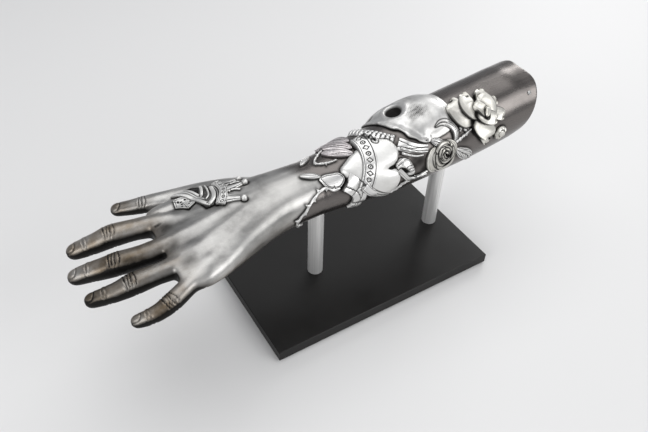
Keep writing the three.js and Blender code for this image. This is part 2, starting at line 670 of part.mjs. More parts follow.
// ---- Assembly ---------------------------------------------------------------------------------------

const group = new THREE.Group();

function add(name, solid, material) {
  const mesh = new THREE.Mesh(geometryOf(solid), material);
  mesh.name = name;
  group.add(mesh);
}

add("base_plate", basePlate(), satinBlack);
add("base_pad", basePad(), felt);
for (const [end, x] of [["front", FRONT_POST_X], ["rear", REAR_POST_X]]) {
  add(`${end}_post`, post(x), brushedSteel);
  add(`${end}_post_screw`, postScrew(x), fastener);
  add(`${end}_bush`, bush(x), bushing);
}

add("hand", handCasting(), silver);
add("forearm_shell", forearmShell(), gunmetal);
add("inner_socket", innerSocket(), liner);
add("wrist_bolt", wristBolt(), fastener);
add("near_trim_screw", trimScrew(NEAR_TRIM_ANGLE), fastener);
add("far_trim_screw", trimScrew(FAR_TRIM_ANGLE), fastener);

ORNAMENT.forEach(([name, make], layer) => {
  const above = ORNAMENT.slice(layer + 1);
  const cut = above.reduce((left, [, upper]) => left.subtract(upper(LAYER_GAP, true)), make(0, false));
  add(name, cut, brightSilver);
});

HAND_ORNAMENT.forEach(([name, outline, height], layer) => {
  const above = HAND_ORNAMENT.slice(layer + 1);
  const cut = above.reduce(
    (left, [, upper]) => left.subtract(prism(upper, RELIEF_FLOOR - 1, RELIEF_CEILING + 1, LAYER_GAP)),
    handRelief(outline, height),
  );
  add(name, cut, brightSilver);
});
const [bandOutline] = HAND_ORNAMENT.filter(([name]) => name === "crown_band").map(([, outline]) => outline);
const bandCut = prism(bandOutline, RELIEF_FLOOR - 1, RELIEF_CEILING + 1, LAYER_GAP);
add("crown_points", crownPoints().subtract(bandCut), brightSilver);

export default group;
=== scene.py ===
import math

import bmesh
import bpy
import numpy as np
from mathutils import Matrix, Vector
from mathutils.bvhtree import BVHTree
from mathutils.kdtree import KDTree


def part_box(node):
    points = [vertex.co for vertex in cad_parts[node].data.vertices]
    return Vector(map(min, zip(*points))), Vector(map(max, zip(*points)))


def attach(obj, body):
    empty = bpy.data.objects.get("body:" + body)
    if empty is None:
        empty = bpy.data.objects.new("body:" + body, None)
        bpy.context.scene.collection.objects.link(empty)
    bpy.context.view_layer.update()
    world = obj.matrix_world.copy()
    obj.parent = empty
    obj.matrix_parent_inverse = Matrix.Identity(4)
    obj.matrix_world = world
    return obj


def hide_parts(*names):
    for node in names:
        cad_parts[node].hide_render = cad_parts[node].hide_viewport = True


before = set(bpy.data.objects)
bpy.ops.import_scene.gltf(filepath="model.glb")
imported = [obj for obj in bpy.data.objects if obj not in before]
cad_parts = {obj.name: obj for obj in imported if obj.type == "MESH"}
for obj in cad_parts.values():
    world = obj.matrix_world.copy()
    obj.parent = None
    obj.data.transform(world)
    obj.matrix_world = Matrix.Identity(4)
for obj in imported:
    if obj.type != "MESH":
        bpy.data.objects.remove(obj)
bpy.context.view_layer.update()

# Everything below is laid out in millimetres and scaled to metres as a mesh is made.
MM = 0.001

# ---- The camera: the view is fixed first ------------------------------------------------------------

CAMERA_AT = (-0.3353, -0.4626, 0.6204)
CAMERA_RIGHT = (0.8537, -0.5203, 0.0224)
CAMERA_UP = (0.3453, 0.5976, 0.7237)
CAMERA_LENS = 37.62


def place_camera():
    camera = bpy.data.cameras.new("camera")
    camera.lens = CAMERA_LENS
    camera.sensor_width = 36
    camera.clip_start = 0.01
    right = Vector(CAMERA_RIGHT).normalized()
    back = right.cross(Vector(CAMERA_UP)).normalized()
    up = back.cross(right)
    holder = bpy.data.objects.new("camera", camera)
    holder.matrix_world = Matrix.Translation(CAMERA_AT) @ Matrix((right, up, back)).transposed().to_4x4()
    bpy.context.scene.collection.objects.link(holder)
    bpy.context.scene.camera = holder


place_camera()

# ---- Small helpers ----------------------------------------------------------------------------------


def smooth(low, high, value):
    """0 below low, 1 above high, with a soft step between; low may be above high."""
    t = np.clip((np.asarray(value, float) - low) / (high - low), 0, 1)
    return t * t * (3 - 2 * t)


def bump(value, width):
    return np.exp(-((np.asarray(value, float) / width) ** 2))


def run_along(points):
    """Distance along a line of points, from 0 at its start."""
    return np.concatenate([[0], np.cumsum(np.linalg.norm(np.diff(points, axis=0), axis=1))])


def resample(line, count, endpoint=True):
    """count points evenly spaced along a line of points."""
    run = run_along(line)
    at = np.linspace(0, run[-1], count, endpoint=endpoint)
    return np.stack([np.interp(at, run, line[:, k]) for k in range(line.shape[1])], 1)


def polyline(points, count):
    return resample(np.concatenate([points, points[:1]]), count, endpoint=False)


def spline(points, count, closed=False):
    """count points evenly spaced along a smooth curve through the given ones."""
    p = np.asarray(points, float)
    n = len(p)
    spans = n if closed else n - 1
    pick = (lambda i: p[i % n]) if closed else (lambda i: p[min(max(i, 0), n - 1)])
    t = np.linspace(0, 1, 24, endpoint=False)[:, None]
    rows = []
    for i in range(spans):
        a, b, c, d = pick(i - 1), pick(i), pick(i + 1), pick(i + 2)
        if not closed and i == 0:
            a = 2 * b - c
        if not closed and i == spans - 1:
            d = 2 * c - b
        square, cube = 2 * a - 5 * b + 4 * c - d, 3 * b - a - 3 * c + d
        rows.append(0.5 * (2 * b + (c - a) * t + square * t**2 + cube * t**3))
    rows.append(p[:1] if closed else p[-1:])
    return resample(np.concatenate(rows), count, endpoint=not closed)


def distance(spots, point, stretch=1):
    """From each flat point to one of them, in units of stretch along each axis."""
    return np.linalg.norm((spots - point) / stretch, axis=-1)


def line_distance(spots, a, b):
    t = np.clip(((spots - a) @ (b - a)) / ((b - a) @ (b - a)), 0, 1)
    return np.linalg.norm(spots - a - t[..., None] * (b - a), axis=-1)


def path_distance(spots, path):
    path = np.asarray(path, float)
    return np.min([line_distance(spots, a, b) for a, b in zip(path[:-1], path[1:])], axis=0)


def solid_point(p):
    return p if len(p) == 3 else (*p, 0)


def kd_tree(points):
    tree = KDTree(len(points))
    for i, p in enumerate(points):
        tree.insert(solid_point(p), i)
    tree.balance()
    return tree


def nearest(tree, points):
    """For each point, the index of the nearest in the tree and the distance to it."""
    found = [tree.find(solid_point(p)) for p in points]
    return np.array([f[1] for f in found]), np.array([f[2] for f in found])


def near_share(points, others, reach):
    """How near each point is to the others, 1 on one of them and falling to 0 over the reach."""
    return bump(nearest(kd_tree(others), points)[1], reach)


def make_mesh(name, points, faces):
    mesh = bpy.data.meshes.new(name)
    mesh.from_pydata([tuple(p) for p in np.asarray(points) * MM], [], [tuple(int(i) for i in f) for f in faces])
    mesh.update()
    piece = bpy.data.objects.new(name, mesh)
    bpy.context.scene.collection.objects.link(piece)
    mesh.shade_smooth()
    return piece


def vertex_rows(piece, what):
    flat = np.zeros(len(piece.data.vertices) * 3)
    piece.data.vertices.foreach_get(what, flat)
    return flat.reshape(-1, 3)


def points_of(piece):
    return vertex_rows(piece, "co") / MM


def normals_of(piece):
    return vertex_rows(piece, "normal")


def set_points(piece, points):
    piece.data.vertices.foreach_set("co", (points * MM).ravel())
    piece.data.update()


def set_value(piece, name, values):
    """A number on every vertex, which the materials read."""
    layer = piece.data.attributes.get(name) or piece.data.attributes.new(name, "FLOAT", "POINT")
    layer.data.foreach_set("value", np.clip(values, 0, 1).astype(np.float32))


def value_of(piece, name):
    values = np.empty(len(piece.data.vertices), np.float32)
    piece.data.attributes[name].data.foreach_get("value", values)
    return values


def edit_mesh(piece, change):
    """Runs change on the piece's mesh as a bmesh."""
    mesh = bmesh.new()
    mesh.from_mesh(piece.data)
    change(mesh)
    mesh.to_mesh(piece.data)
    mesh.free()


def neighbours(piece):
    """Start and end vertex of every edge, for smoothing."""
    ends = np.zeros(len(piece.data.edges) * 2, np.int64)
    piece.data.edges.foreach_get("vertices", ends)
    return ends.reshape(-1, 2)


def relax(points, edges, share, rounds):
    """Moves each point towards the middle of its neighbours, by its own share, rounds times."""
    count = np.bincount(edges.ravel(), minlength=len(points)).clip(1)[:, None]
    for _ in range(rounds):
        total = np.zeros_like(points)
        for k in range(3):
            total[:, k] = np.bincount(edges[:, 0], points[edges[:, 1], k], len(points))
            total[:, k] += np.bincount(edges[:, 1], points[edges[:, 0], k], len(points))
        points = points + share[:, None] * (total / count - points)
    return points


def cavity(piece, depth):
    """How hollow the surface is round each vertex, from 0 to 1 at the full depth."""
    points, normal, edges = points_of(piece), normals_of(piece), neighbours(piece)
    share = np.full(len(points), 0.6)
    near = relax(points, edges, share, 4)
    far = relax(near, edges, share, 16)
    hollow = ((near - points) * normal).sum(1) * 1.6 + ((far - points) * normal).sum(1) * 0.7
    return smooth(0.02, depth, hollow)


def tube_faces(sides, rows):
    """Faces of a closed skin over equal rings of points, with a fan to a point at each end."""
    ring = np.arange(sides)
    after = (ring + 1) % sides
    faces = [(0, 1 + b, 1 + a) for a, b in zip(ring, after)]
    for r in range(rows - 1):
        base, top = 1 + r * sides, 1 + (r + 1) * sides
        faces += [(base + a, base + b, top + b, top + a) for a, b in zip(ring, after)]
    base, last = 1 + (rows - 1) * sides, 1 + rows * sides
    return faces + [(last, base + a, base + b) for a, b in zip(ring, after)]


def capped(rows):
    """Rings of values in one array, with the mean of the first and the last ring at its ends."""
    return np.concatenate([rows[0].mean(0)[None], *rows, rows[-1].mean(0)[None]])


def tree_of(piece):
    mesh = piece.data
    mesh.calc_loop_triangles()
    corners = [tuple(v.co) for v in mesh.vertices]
    return BVHTree.FromPolygons(corners, [tuple(t.vertices) for t in mesh.loop_triangles])


# ---- Materials --------------------------------------------------------------------------------------


class Shader:
    """A node material being built."""

    def __init__(self, name, metallic=0.0, roughness=0.5, color=(0.5, 0.5, 0.5)):
        self.material = bpy.data.materials.new(name)
        self.material.use_nodes = True
        self.tree = self.material.node_tree
        self.base = self.tree.nodes["Principled BSDF"]
        self.base.inputs["Metallic"].default_value = metallic
        self.base.inputs["Roughness"].default_value = roughness
        self.base.inputs["Base Color"].default_value = (*color, 1)
        self.place = self.tree.nodes.new("ShaderNodeTexCoord").outputs["Object"]

    def node(self, kind, **sockets):
        made = self.tree.nodes.new(kind)
        for name, value in sockets.items():
            self.feed(made.inputs[name.replace("_", " ")], value)
        return made

    def feed(self, socket, value):
        if isinstance(value, bpy.types.NodeSocket):
            self.tree.links.new(value, socket)
        else:
            socket.default_value = value

    def noise(self, scale, stretch=(1, 1, 1), detail=4, rough=0.5):
        mapping = self.node("ShaderNodeMapping", Vector=self.place, Scale=stretch)
        sockets = {"Vector": mapping.outputs[0], "Scale": scale, "Detail": detail, "Roughness": rough}
        return self.node("ShaderNodeTexNoise", **sockets).outputs["Fac"]

    def ramp(self, value, low, high, out_low=0.0, out_high=1.0):
        made = self.node("ShaderNodeMapRange", Value=value)
        for name, number in zip(("From Min", "From Max", "To Min", "To Max"), (low, high, out_low, out_high)):
            made.inputs[name].default_value = number
        return made.outputs["Result"]

    def math(self, operation, a, b):
        made = self.tree.nodes.new("ShaderNodeMath")
        made.operation = operation
        self.feed(made.inputs[0], a)
        self.feed(made.inputs[1], b)
        return made.outputs[0]

    def value(self, name):
        made = self.tree.nodes.new("ShaderNodeAttribute")
        made.attribute_name = name
        return made.outputs["Fac"]

    def mix(self, share, a, b):
        made = self.tree.nodes.new("ShaderNodeMix")
        made.data_type = "RGBA"
        self.feed(made.inputs["Factor"], share)
        self.feed(made.inputs[6], (*a, 1) if isinstance(a, tuple) else a)
        self.feed(made.inputs[7], (*b, 1) if isinstance(b, tuple) else b)
        return made.outputs[2]

    def color(self, value):
        self.feed(self.base.inputs["Base Color"], value)

    def roughness(self, value):
        self.feed(self.base.inputs["Roughness"], value)

    def relief(self, height, distance, strength=1.0):
        made = self.node("ShaderNodeBump", Height=height, Distance=distance, Strength=strength)
        self.tree.links.new(made.outputs[0], self.base.inputs["Normal"])


SILVER = (0.40, 0.394, 0.382)
SILVER_BRIGHT = (0.72, 0.715, 0.70)
BRASS = (0.34, 0.255, 0.165)
GUNMETAL = (0.15, 0.138, 0.131)
PATINA_AND_SHADE = (0.016, 0.015, 0.014)


def skin_material():
    """Silvered hand that turns to brass and patina at the fingers, and to gunmetal up the forearm, with painted
    shade mixed into the dark patina.
    """
    s = Shader("silvered_skin", metallic=0.92)
    cloud = s.noise(28, detail=6, rough=0.6)
    streak = s.noise(160, stretch=(0.12, 1, 1), detail=3)
    speck = s.noise(900, detail=2)
    brass = s.math("MULTIPLY", s.value("brass"), s.ramp(cloud, 0.35, 0.62, 0.15, 1.0))
    tone = s.mix(brass, SILVER, BRASS)
    gun = s.ramp(s.math("ADD", s.value("gunmetal"), s.ramp(cloud, 0.3, 0.7, -0.12, 0.12)), 0.1, 0.9)
    tone = s.mix(gun, tone, GUNMETAL)
    wear = s.math("MULTIPLY", s.ramp(streak, 0.35, 0.7, 0.0, 0.5), s.ramp(speck, 0.3, 0.7, 0.4, 1.0))
    blotch = s.noise(14, detail=5, rough=0.62)
    tone = s.mix(wear, tone, s.mix(gun, (0.64, 0.63, 0.605), (0.165, 0.152, 0.145)))
    smudge = s.math("MULTIPLY", s.ramp(blotch, 0.42, 0.7, 0.0, 0.5), s.ramp(gun, 0.2, 0.8, 1.0, 0.2))
    # painted shade and patina: the per-vertex darkening value and random smudges mix the colour towards
    # near-black
    stain_and_shade = s.math("ADD", s.value("patina_and_shade"), s.math("ADD", smudge, s.ramp(cloud, 0.55, 0.8, 0.0, 0.2)))
    s.color(s.mix(s.ramp(stain_and_shade, 0.05, 0.95), tone, PATINA_AND_SHADE))
    satin = s.mix(gun, (0.36, 0.36, 0.36), (0.27, 0.27, 0.27))
    uneven = s.math("ADD", s.ramp(streak, 0.3, 0.7, -0.05, 0.07), s.math("MULTIPLY", s.value("patina_and_shade"), 0.15))
    s.roughness(s.math("ADD", satin, uneven))
    grain = s.math("ADD", s.math("MULTIPLY", streak, 0.6), s.math("MULTIPLY", speck, 0.4))
    s.relief(grain, 0.00012, 0.6)
    return s.material


def ornament_material(name, bright, tint, rough=0.3):
    """Bright silver worn through black patina, and painted shade, that stay in the recesses."""
    s = Shader(name, metallic=0.9)
    cloud = s.noise(60, detail=5, rough=0.6)
    speck = s.noise(1100, detail=2)
    wear_and_shade = s.mix(s.ramp(cloud, 0.35, 0.7), bright, tint)
    # painted shade and patina: the per-vertex darkening value and random smudges mix the colour towards
    # near-black
    stain_and_shade = s.math("ADD", s.value("patina_and_shade"), s.ramp(cloud, 0.55, 0.75, 0.0, 0.18))
    s.color(s.mix(s.ramp(stain_and_shade, 0.15, 0.85), wear_and_shade, PATINA_AND_SHADE))
    dull = s.math("MULTIPLY", s.value("patina_and_shade"), 0.25)
    s.roughness(s.math("ADD", s.ramp(cloud, 0.3, 0.7, rough, rough + 0.13), dull))
    s.relief(speck, 0.00008, 0.5)
    return s.material


def brushed_steel():
    s = Shader("brushed_steel", metallic=0.55)
    lines = s.noise(700, stretch=(1, 1, 0.02), detail=3)
    s.color(s.mix(s.ramp(lines, 0.35, 0.65), (0.72, 0.715, 0.70), (0.84, 0.835, 0.82)))
    s.roughness(s.ramp(lines, 0.3, 0.7, 0.38, 0.5))
    s.relief(lines, 0.00001, 0.4)
    return s.material


def satin_black():
    s = Shader("satin_black")
    grain = s.noise(2200, detail=2)
    smear = s.noise(14, detail=5, rough=0.65)
    s.color(s.mix(s.ramp(smear, 0.3, 0.75), (0.006, 0.0056, 0.0052), (0.0095, 0.0089, 0.0084)))
    s.base.inputs["Specular IOR Level"].default_value = 0.24
    s.roughness(s.ramp(smear, 0.3, 0.7, 0.36, 0.5))
    s.relief(grain, 0.00003, 0.4)
    return s.material


def turned(name, color, rough):
    s = Shader(name, metallic=1.0)
    rings = s.noise(1500, stretch=(0.2, 0.2, 1), detail=2)
    s.color(s.mix(s.ramp(rings, 0.3, 0.7), color, tuple(0.75 * c for c in color)))
    s.roughness(s.ramp(rings, 0.3, 0.7, rough, rough + 0.12))
    s.relief(rings, 0.00003, 0.4)
    return s.material


def laminate():
    """Woven carbon laminate under resin, inside the socket."""
    s = Shader("liner", roughness=0.35)
    weave = []
    for turn in (0.785, -0.785):
        mapping = s.node("ShaderNodeMapping", Vector=s.place, Rotation=(turn, turn, 0))
        wave = s.node("ShaderNodeTexWave", Vector=mapping.outputs[0], Scale=130.0, Distortion=0.4)
        weave.append(wave.outputs["Fac"])
    cloth = s.math("MULTIPLY", weave[0], weave[1])
    s.color(s.mix(cloth, (0.012, 0.012, 0.012), (0.055, 0.052, 0.05)))
    s.roughness(s.ramp(cloth, 0, 1, 0.45, 0.3))
    s.relief(cloth, 0.0001, 0.5)
    return s.material


def felt():
    s = Shader("felt", roughness=0.95)
    fibre = s.noise(1800, detail=4)
    s.color(s.mix(fibre, (0.008, 0.008, 0.008), (0.035, 0.034, 0.033)))
    s.relief(fibre, 0.0003, 0.8)
    return s.material


SKIN = skin_material()
ORNAMENT = ornament_material("bright_silver", SILVER_BRIGHT, tint=(0.62, 0.615, 0.60))
PETAL = ornament_material("bright_silver_rosy", (0.66, 0.63, 0.63), tint=(0.46, 0.42, 0.425))
ROSE = ornament_material("bright_silver_warm", (0.78, 0.765, 0.715), tint=(0.50, 0.485, 0.44), rough=0.36)
SKULL = ornament_material("bright_silver_skull", (0.66, 0.655, 0.64), tint=(0.40, 0.395, 0.385), rough=0.36)
HEART = ornament_material("bright_silver_smooth", (0.78, 0.775, 0.755), tint=(0.68, 0.675, 0.655), rough=0.44)
STEEL = brushed_steel()
BLACK = satin_black()
FASTENER = turned("fastener", (0.62, 0.62, 0.61), 0.25)
BRONZE = turned("bushing", (0.62, 0.46, 0.22), 0.3)
LINER = laminate()
FELT = felt()


def paint(piece, material):
    piece.data.materials.clear()
    piece.data.materials.append(material)


def dress_cad(node, material):
    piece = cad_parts[node]
    if piece.material_slots:
        for slot in piece.material_slots:
            slot.material = material
    else:
        piece.data.materials.append(material)


for end in ("front", "rear"):
    dress_cad(f"{end}_post", STEEL)
    dress_cad(f"{end}_post_screw", FASTENER)
    dress_cad(f"{end}_bush", BRONZE)
dress_cad("base_pad", FELT)
dress_cad("base_plate", BLACK)
dress_cad("inner_socket", LINER)
dress_cad("wrist_bolt", FASTENER)

# ---- The bare arm's sections, measured on the CAD solids ---------------------------------------------

_low, _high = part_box("forearm_shell")
SEAM, RIM = _low.x / MM, _high.x / MM  # where the forearm meets the hand, and its elbow end
SECTION_MIDDLE = (_low.z + _high.z) / 2 / MM
SECTION_REACH = 0.15  # metres from the middle, outside the whole arm
SECTION_STEP = 4.0
SECTION_BLUR = 7.0  # smooths the solids' facets away


def fit_section(tree, x):
    """Centre height, half width and half height of the ellipse through the solid's outside at x."""
    rows = []
    for angle in np.radians(np.arange(-150, 151, 10)):
        out = Vector((0, -math.sin(angle), math.cos(angle)))
        start = Vector((x * MM, 0, SECTION_MIDDLE * MM)) + out * SECTION_REACH
        hit = tree.ray_cast(start, -out)[0]
        if hit is not None:
            rows.append((hit.y / MM, hit.z / MM))
    y, z = np.array(rows).T
    a, b, c = np.linalg.lstsq(np.stack([y**2, z**2, z], 1), np.ones(len(y)), rcond=None)[0]
    centre = -c / (2 * b)
    scale = 1 + b * centre**2
    return centre, math.sqrt(scale / a), math.sqrt(scale / b)


_forearm_tree = tree_of(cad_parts["forearm_shell"])
_hand_tree = tree_of(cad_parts["hand"])
_stations = np.arange(SEAM - 34, RIM - 22, SECTION_STEP)
_fits = np.array([fit_section(_forearm_tree if x > SEAM else _hand_tree, x) for x in _stations])
_pad = np.arange(1, 6)[:, None]
_before = _fits[0] + (_fits[0] - _fits[4]) / 4 * _pad[::-1]
_after = _fits[-1] + (_fits[-1] - _fits[-5]) / 4 * _pad
_stations = np.concatenate([
    _stations[0] - SECTION_STEP * _pad[::-1, 0], _stations, _stations[-1] + SECTION_STEP * _pad[:, 0],
])
_fits = np.concatenate([_before, _fits, _after])
_weight = bump(_stations[:, None] - _stations[None], SECTION_BLUR)
_weight /= _weight.sum(1, keepdims=True)
_fits[3:-3] = (_weight @ _fits)[3:-3]


def sections(x):
    return [np.interp(x, _stations, _fits[:, k]) for k in range(3)]


def on_skin(x, angle, lift=0.0):
    """Points on the bare arm at x, at an angle in degrees from the top towards -Y, lifted off the skin."""
    x, angle, lift = np.broadcast_arrays(*(np.asarray(v, float) for v in (x, angle, lift)))
    centre, half_width, half_height = sections(x)
    turn = np.radians(angle)
    return np.stack([x, -(half_width + lift) * np.sin(turn), centre + (half_height + lift) * np.cos(turn)], -1)


def girth(x):
    _, half_width, half_height = sections(x)
    return (half_width + half_height) / 2


# ---- Arm skin: the hand and the hollow forearm in one piece ------------------------------------------

SKIN_VOXEL = 0.95
WALL = 4.0
FOREARM_INSIDE = SEAM + 30  # where the forearm's hollow ends
RIM_ROUND = 1.6
RIM_SEARCH = 60  # how far back from the elbow end the rim may lie
RIM_LOOK = 20  # the looks start this far off the skin
TUCK = 2.2  # the forearm's end lies this deep inside the hand
SMOOTHING, REFILL = 26, 60  # rounds


def rim_line(angles):
    """Where the elbow rim lies at each angle: the furthest x at which a look from outside meets the wall."""
    found = []
    for angle in angles:
        for x in np.arange(RIM + 1, RIM - RIM_SEARCH, -0.5):
            outside = on_skin(x, angle, RIM_LOOK)
            aim = Vector(on_skin(x, angle) - outside).normalized()
            hit, _, _, reach = _forearm_tree.ray_cast(Vector(outside * MM), aim)
            if hit is not None and reach < (RIM_LOOK + WALL) * MM:
                break
        found.append(x)
    kernel = np.ones(9) / 9
    return np.convolve(np.concatenate([found[-4:], found, found[:4]]), kernel, "valid")


def forearm_tube(sides=240, steps=200):
    angles = np.linspace(-180, 180, sides, endpoint=False)
    rim = rim_line(angles)
    start = SEAM - 6
    rows = []
    for share in np.linspace(0, 1, steps):
        x = start + (rim - RIM_ROUND - start) * share
        rows.append(on_skin(x, angles, -TUCK * smooth(SEAM + 3, SEAM - 3, x)))
    for turn in np.linspace(0, math.pi, 7)[1:-1]:
        x = rim - RIM_ROUND + RIM_ROUND * math.sin(turn)
        rows.append(on_skin(x, angles, -WALL / 2 + WALL / 2 * math.cos(turn)))
    for share in np.linspace(1, 0, 60):
        x = FOREARM_INSIDE + (rim - RIM_ROUND - FOREARM_INSIDE) * share
        rows.append(on_skin(x, angles, -WALL))
    return make_mesh("arm_skin", capped(rows), tube_faces(sides, len(rows)))


WELD = 0.01  # points of one solid closer than this are one


def weld(piece):
    edit_mesh(piece, lambda mesh: bmesh.ops.remove_doubles(mesh, verts=mesh.verts, dist=WELD * MM))


def apply_modifiers(piece):
    depsgraph = bpy.context.evaluated_depsgraph_get()
    mesh = bpy.data.meshes.new_from_object(piece.evaluated_get(depsgraph))
    old = piece.data
    piece.modifiers.clear()
    piece.data = mesh
    bpy.data.meshes.remove(old)


def arm_skin():
    tube = forearm_tube()
    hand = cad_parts["hand"]
    copy = make_mesh("hand_copy", points_of(hand), [tuple(p.vertices) for p in hand.data.polygons])
    weld(copy)
    bpy.context.view_layer.update()
    with bpy.context.temp_override(active_object=tube, selected_editable_objects=[tube, copy]):
        bpy.ops.object.join()
    tube.name = "arm_skin"
    remesh = tube.modifiers.new("remesh", "REMESH")
    remesh.mode = "VOXEL"
    remesh.voxel_size = SKIN_VOXEL * MM
    apply_modifiers(tube)
    edges = neighbours(tube)
    before = points_of(tube)
    hand_share = smooth(SEAM + 14, SEAM - 6, before[:, 0])
    points = relax(before, edges, 0.06 + 0.5 * hand_share, SMOOTHING)
    # what smoothing takes off the round fingers is put back along the normal
    set_points(tube, points)
    normal = normals_of(tube)
    lost = ((before - points) * normal).sum(1)
    lost = relax(np.repeat(lost[:, None], 3, 1), edges, 0.6 * hand_share, REFILL)[:, 0]
    points = points + normal * (lost * hand_share)[:, None]
    set_points(tube, points)
    tube.data.shade_smooth()
    return tube


# ---- Hand detail --------------------------------------------------------------------------------------

# The fingers' middle lines in x, y and height over the wrist's centre, from inside the palm to the tip.
FINGER_LINES = {
    "index": [
        (-190, 8, 4), (-216, 21, 4.5), (-236, 28.5, 3), (-262, 36, -1), (-283, 41, -8), (-305, 48, -14.5),
    ],
    "middle": [
        (-190, -18, 5), (-222, -12, 5.5), (-246, -8.5, 3.5), (-267, -3, -0.5), (-290, 6.5, -8), (-313, 16, -15),
    ],
    "ring": [
        (-190, -40, 4), (-222, -38.5, 4.5), (-242, -36, 2.5), (-260, -33, -1), (-286, -28.5, -8),
        (-308, -19.5, -14.5),
    ],
    "little": [
        (-182, -52, 1), (-207, -57.5, 3), (-224, -63.5, 2), (-243, -71, -1), (-262, -71.5, -7),
        (-280, -64.5, -13),
    ],
    "thumb": [
        (-100, 16, -2), (-130, 33, -3), (-165, 51, -4), (-200, 64, -5), (-224, 74, -9.5), (-248, 87, -14.5),
    ],
}
MIDDLE_JOINT, END_JOINT, THUMB_JOINT = 0.615, 0.815, 0.78  # shares of a finger's line
FINGER_REACH = 17.0  # from a finger's line to its skin, at most
FINGERS_START, THUMB_START, TENDONS_START = -176, -96, -112  # in x
FOLD_STEP = 3.3  # between the skin folds over a joint
NAIL_HALF = {"thumb": 6.6, "little": 4.9}
OTHER_NAIL_HALF = 5.9
WRIST_HEIGHT = float(sections(SEAM)[0])


def finger_place(points, line):
    """Share along the line, distance to it, how far above it (-1 to 1), sideways offset, and its length."""
    fine = spline(np.array(line) + (0, 0, WRIST_HEIGHT), 160)
    run = run_along(fine)
    spot = nearest(kd_tree(fine), points)[0]
    along = np.gradient(fine, axis=0)
    along /= np.linalg.norm(along, axis=1, keepdims=True)
    side = np.cross(along, (0, 0, 1))
    side /= np.linalg.norm(side, axis=1, keepdims=True)
    over = np.cross(side, along)
    off = points - fine[spot]
    share = run[spot] / run[-1] + (off * along[spot]).sum(1) / run[-1]
    reach = np.linalg.norm(off, axis=1)
    above = (off * over[spot]).sum(1)
    across = (off * side[spot]).sum(1)
    return share, reach, above / np.maximum(reach, 1e-6), across, run[-1]


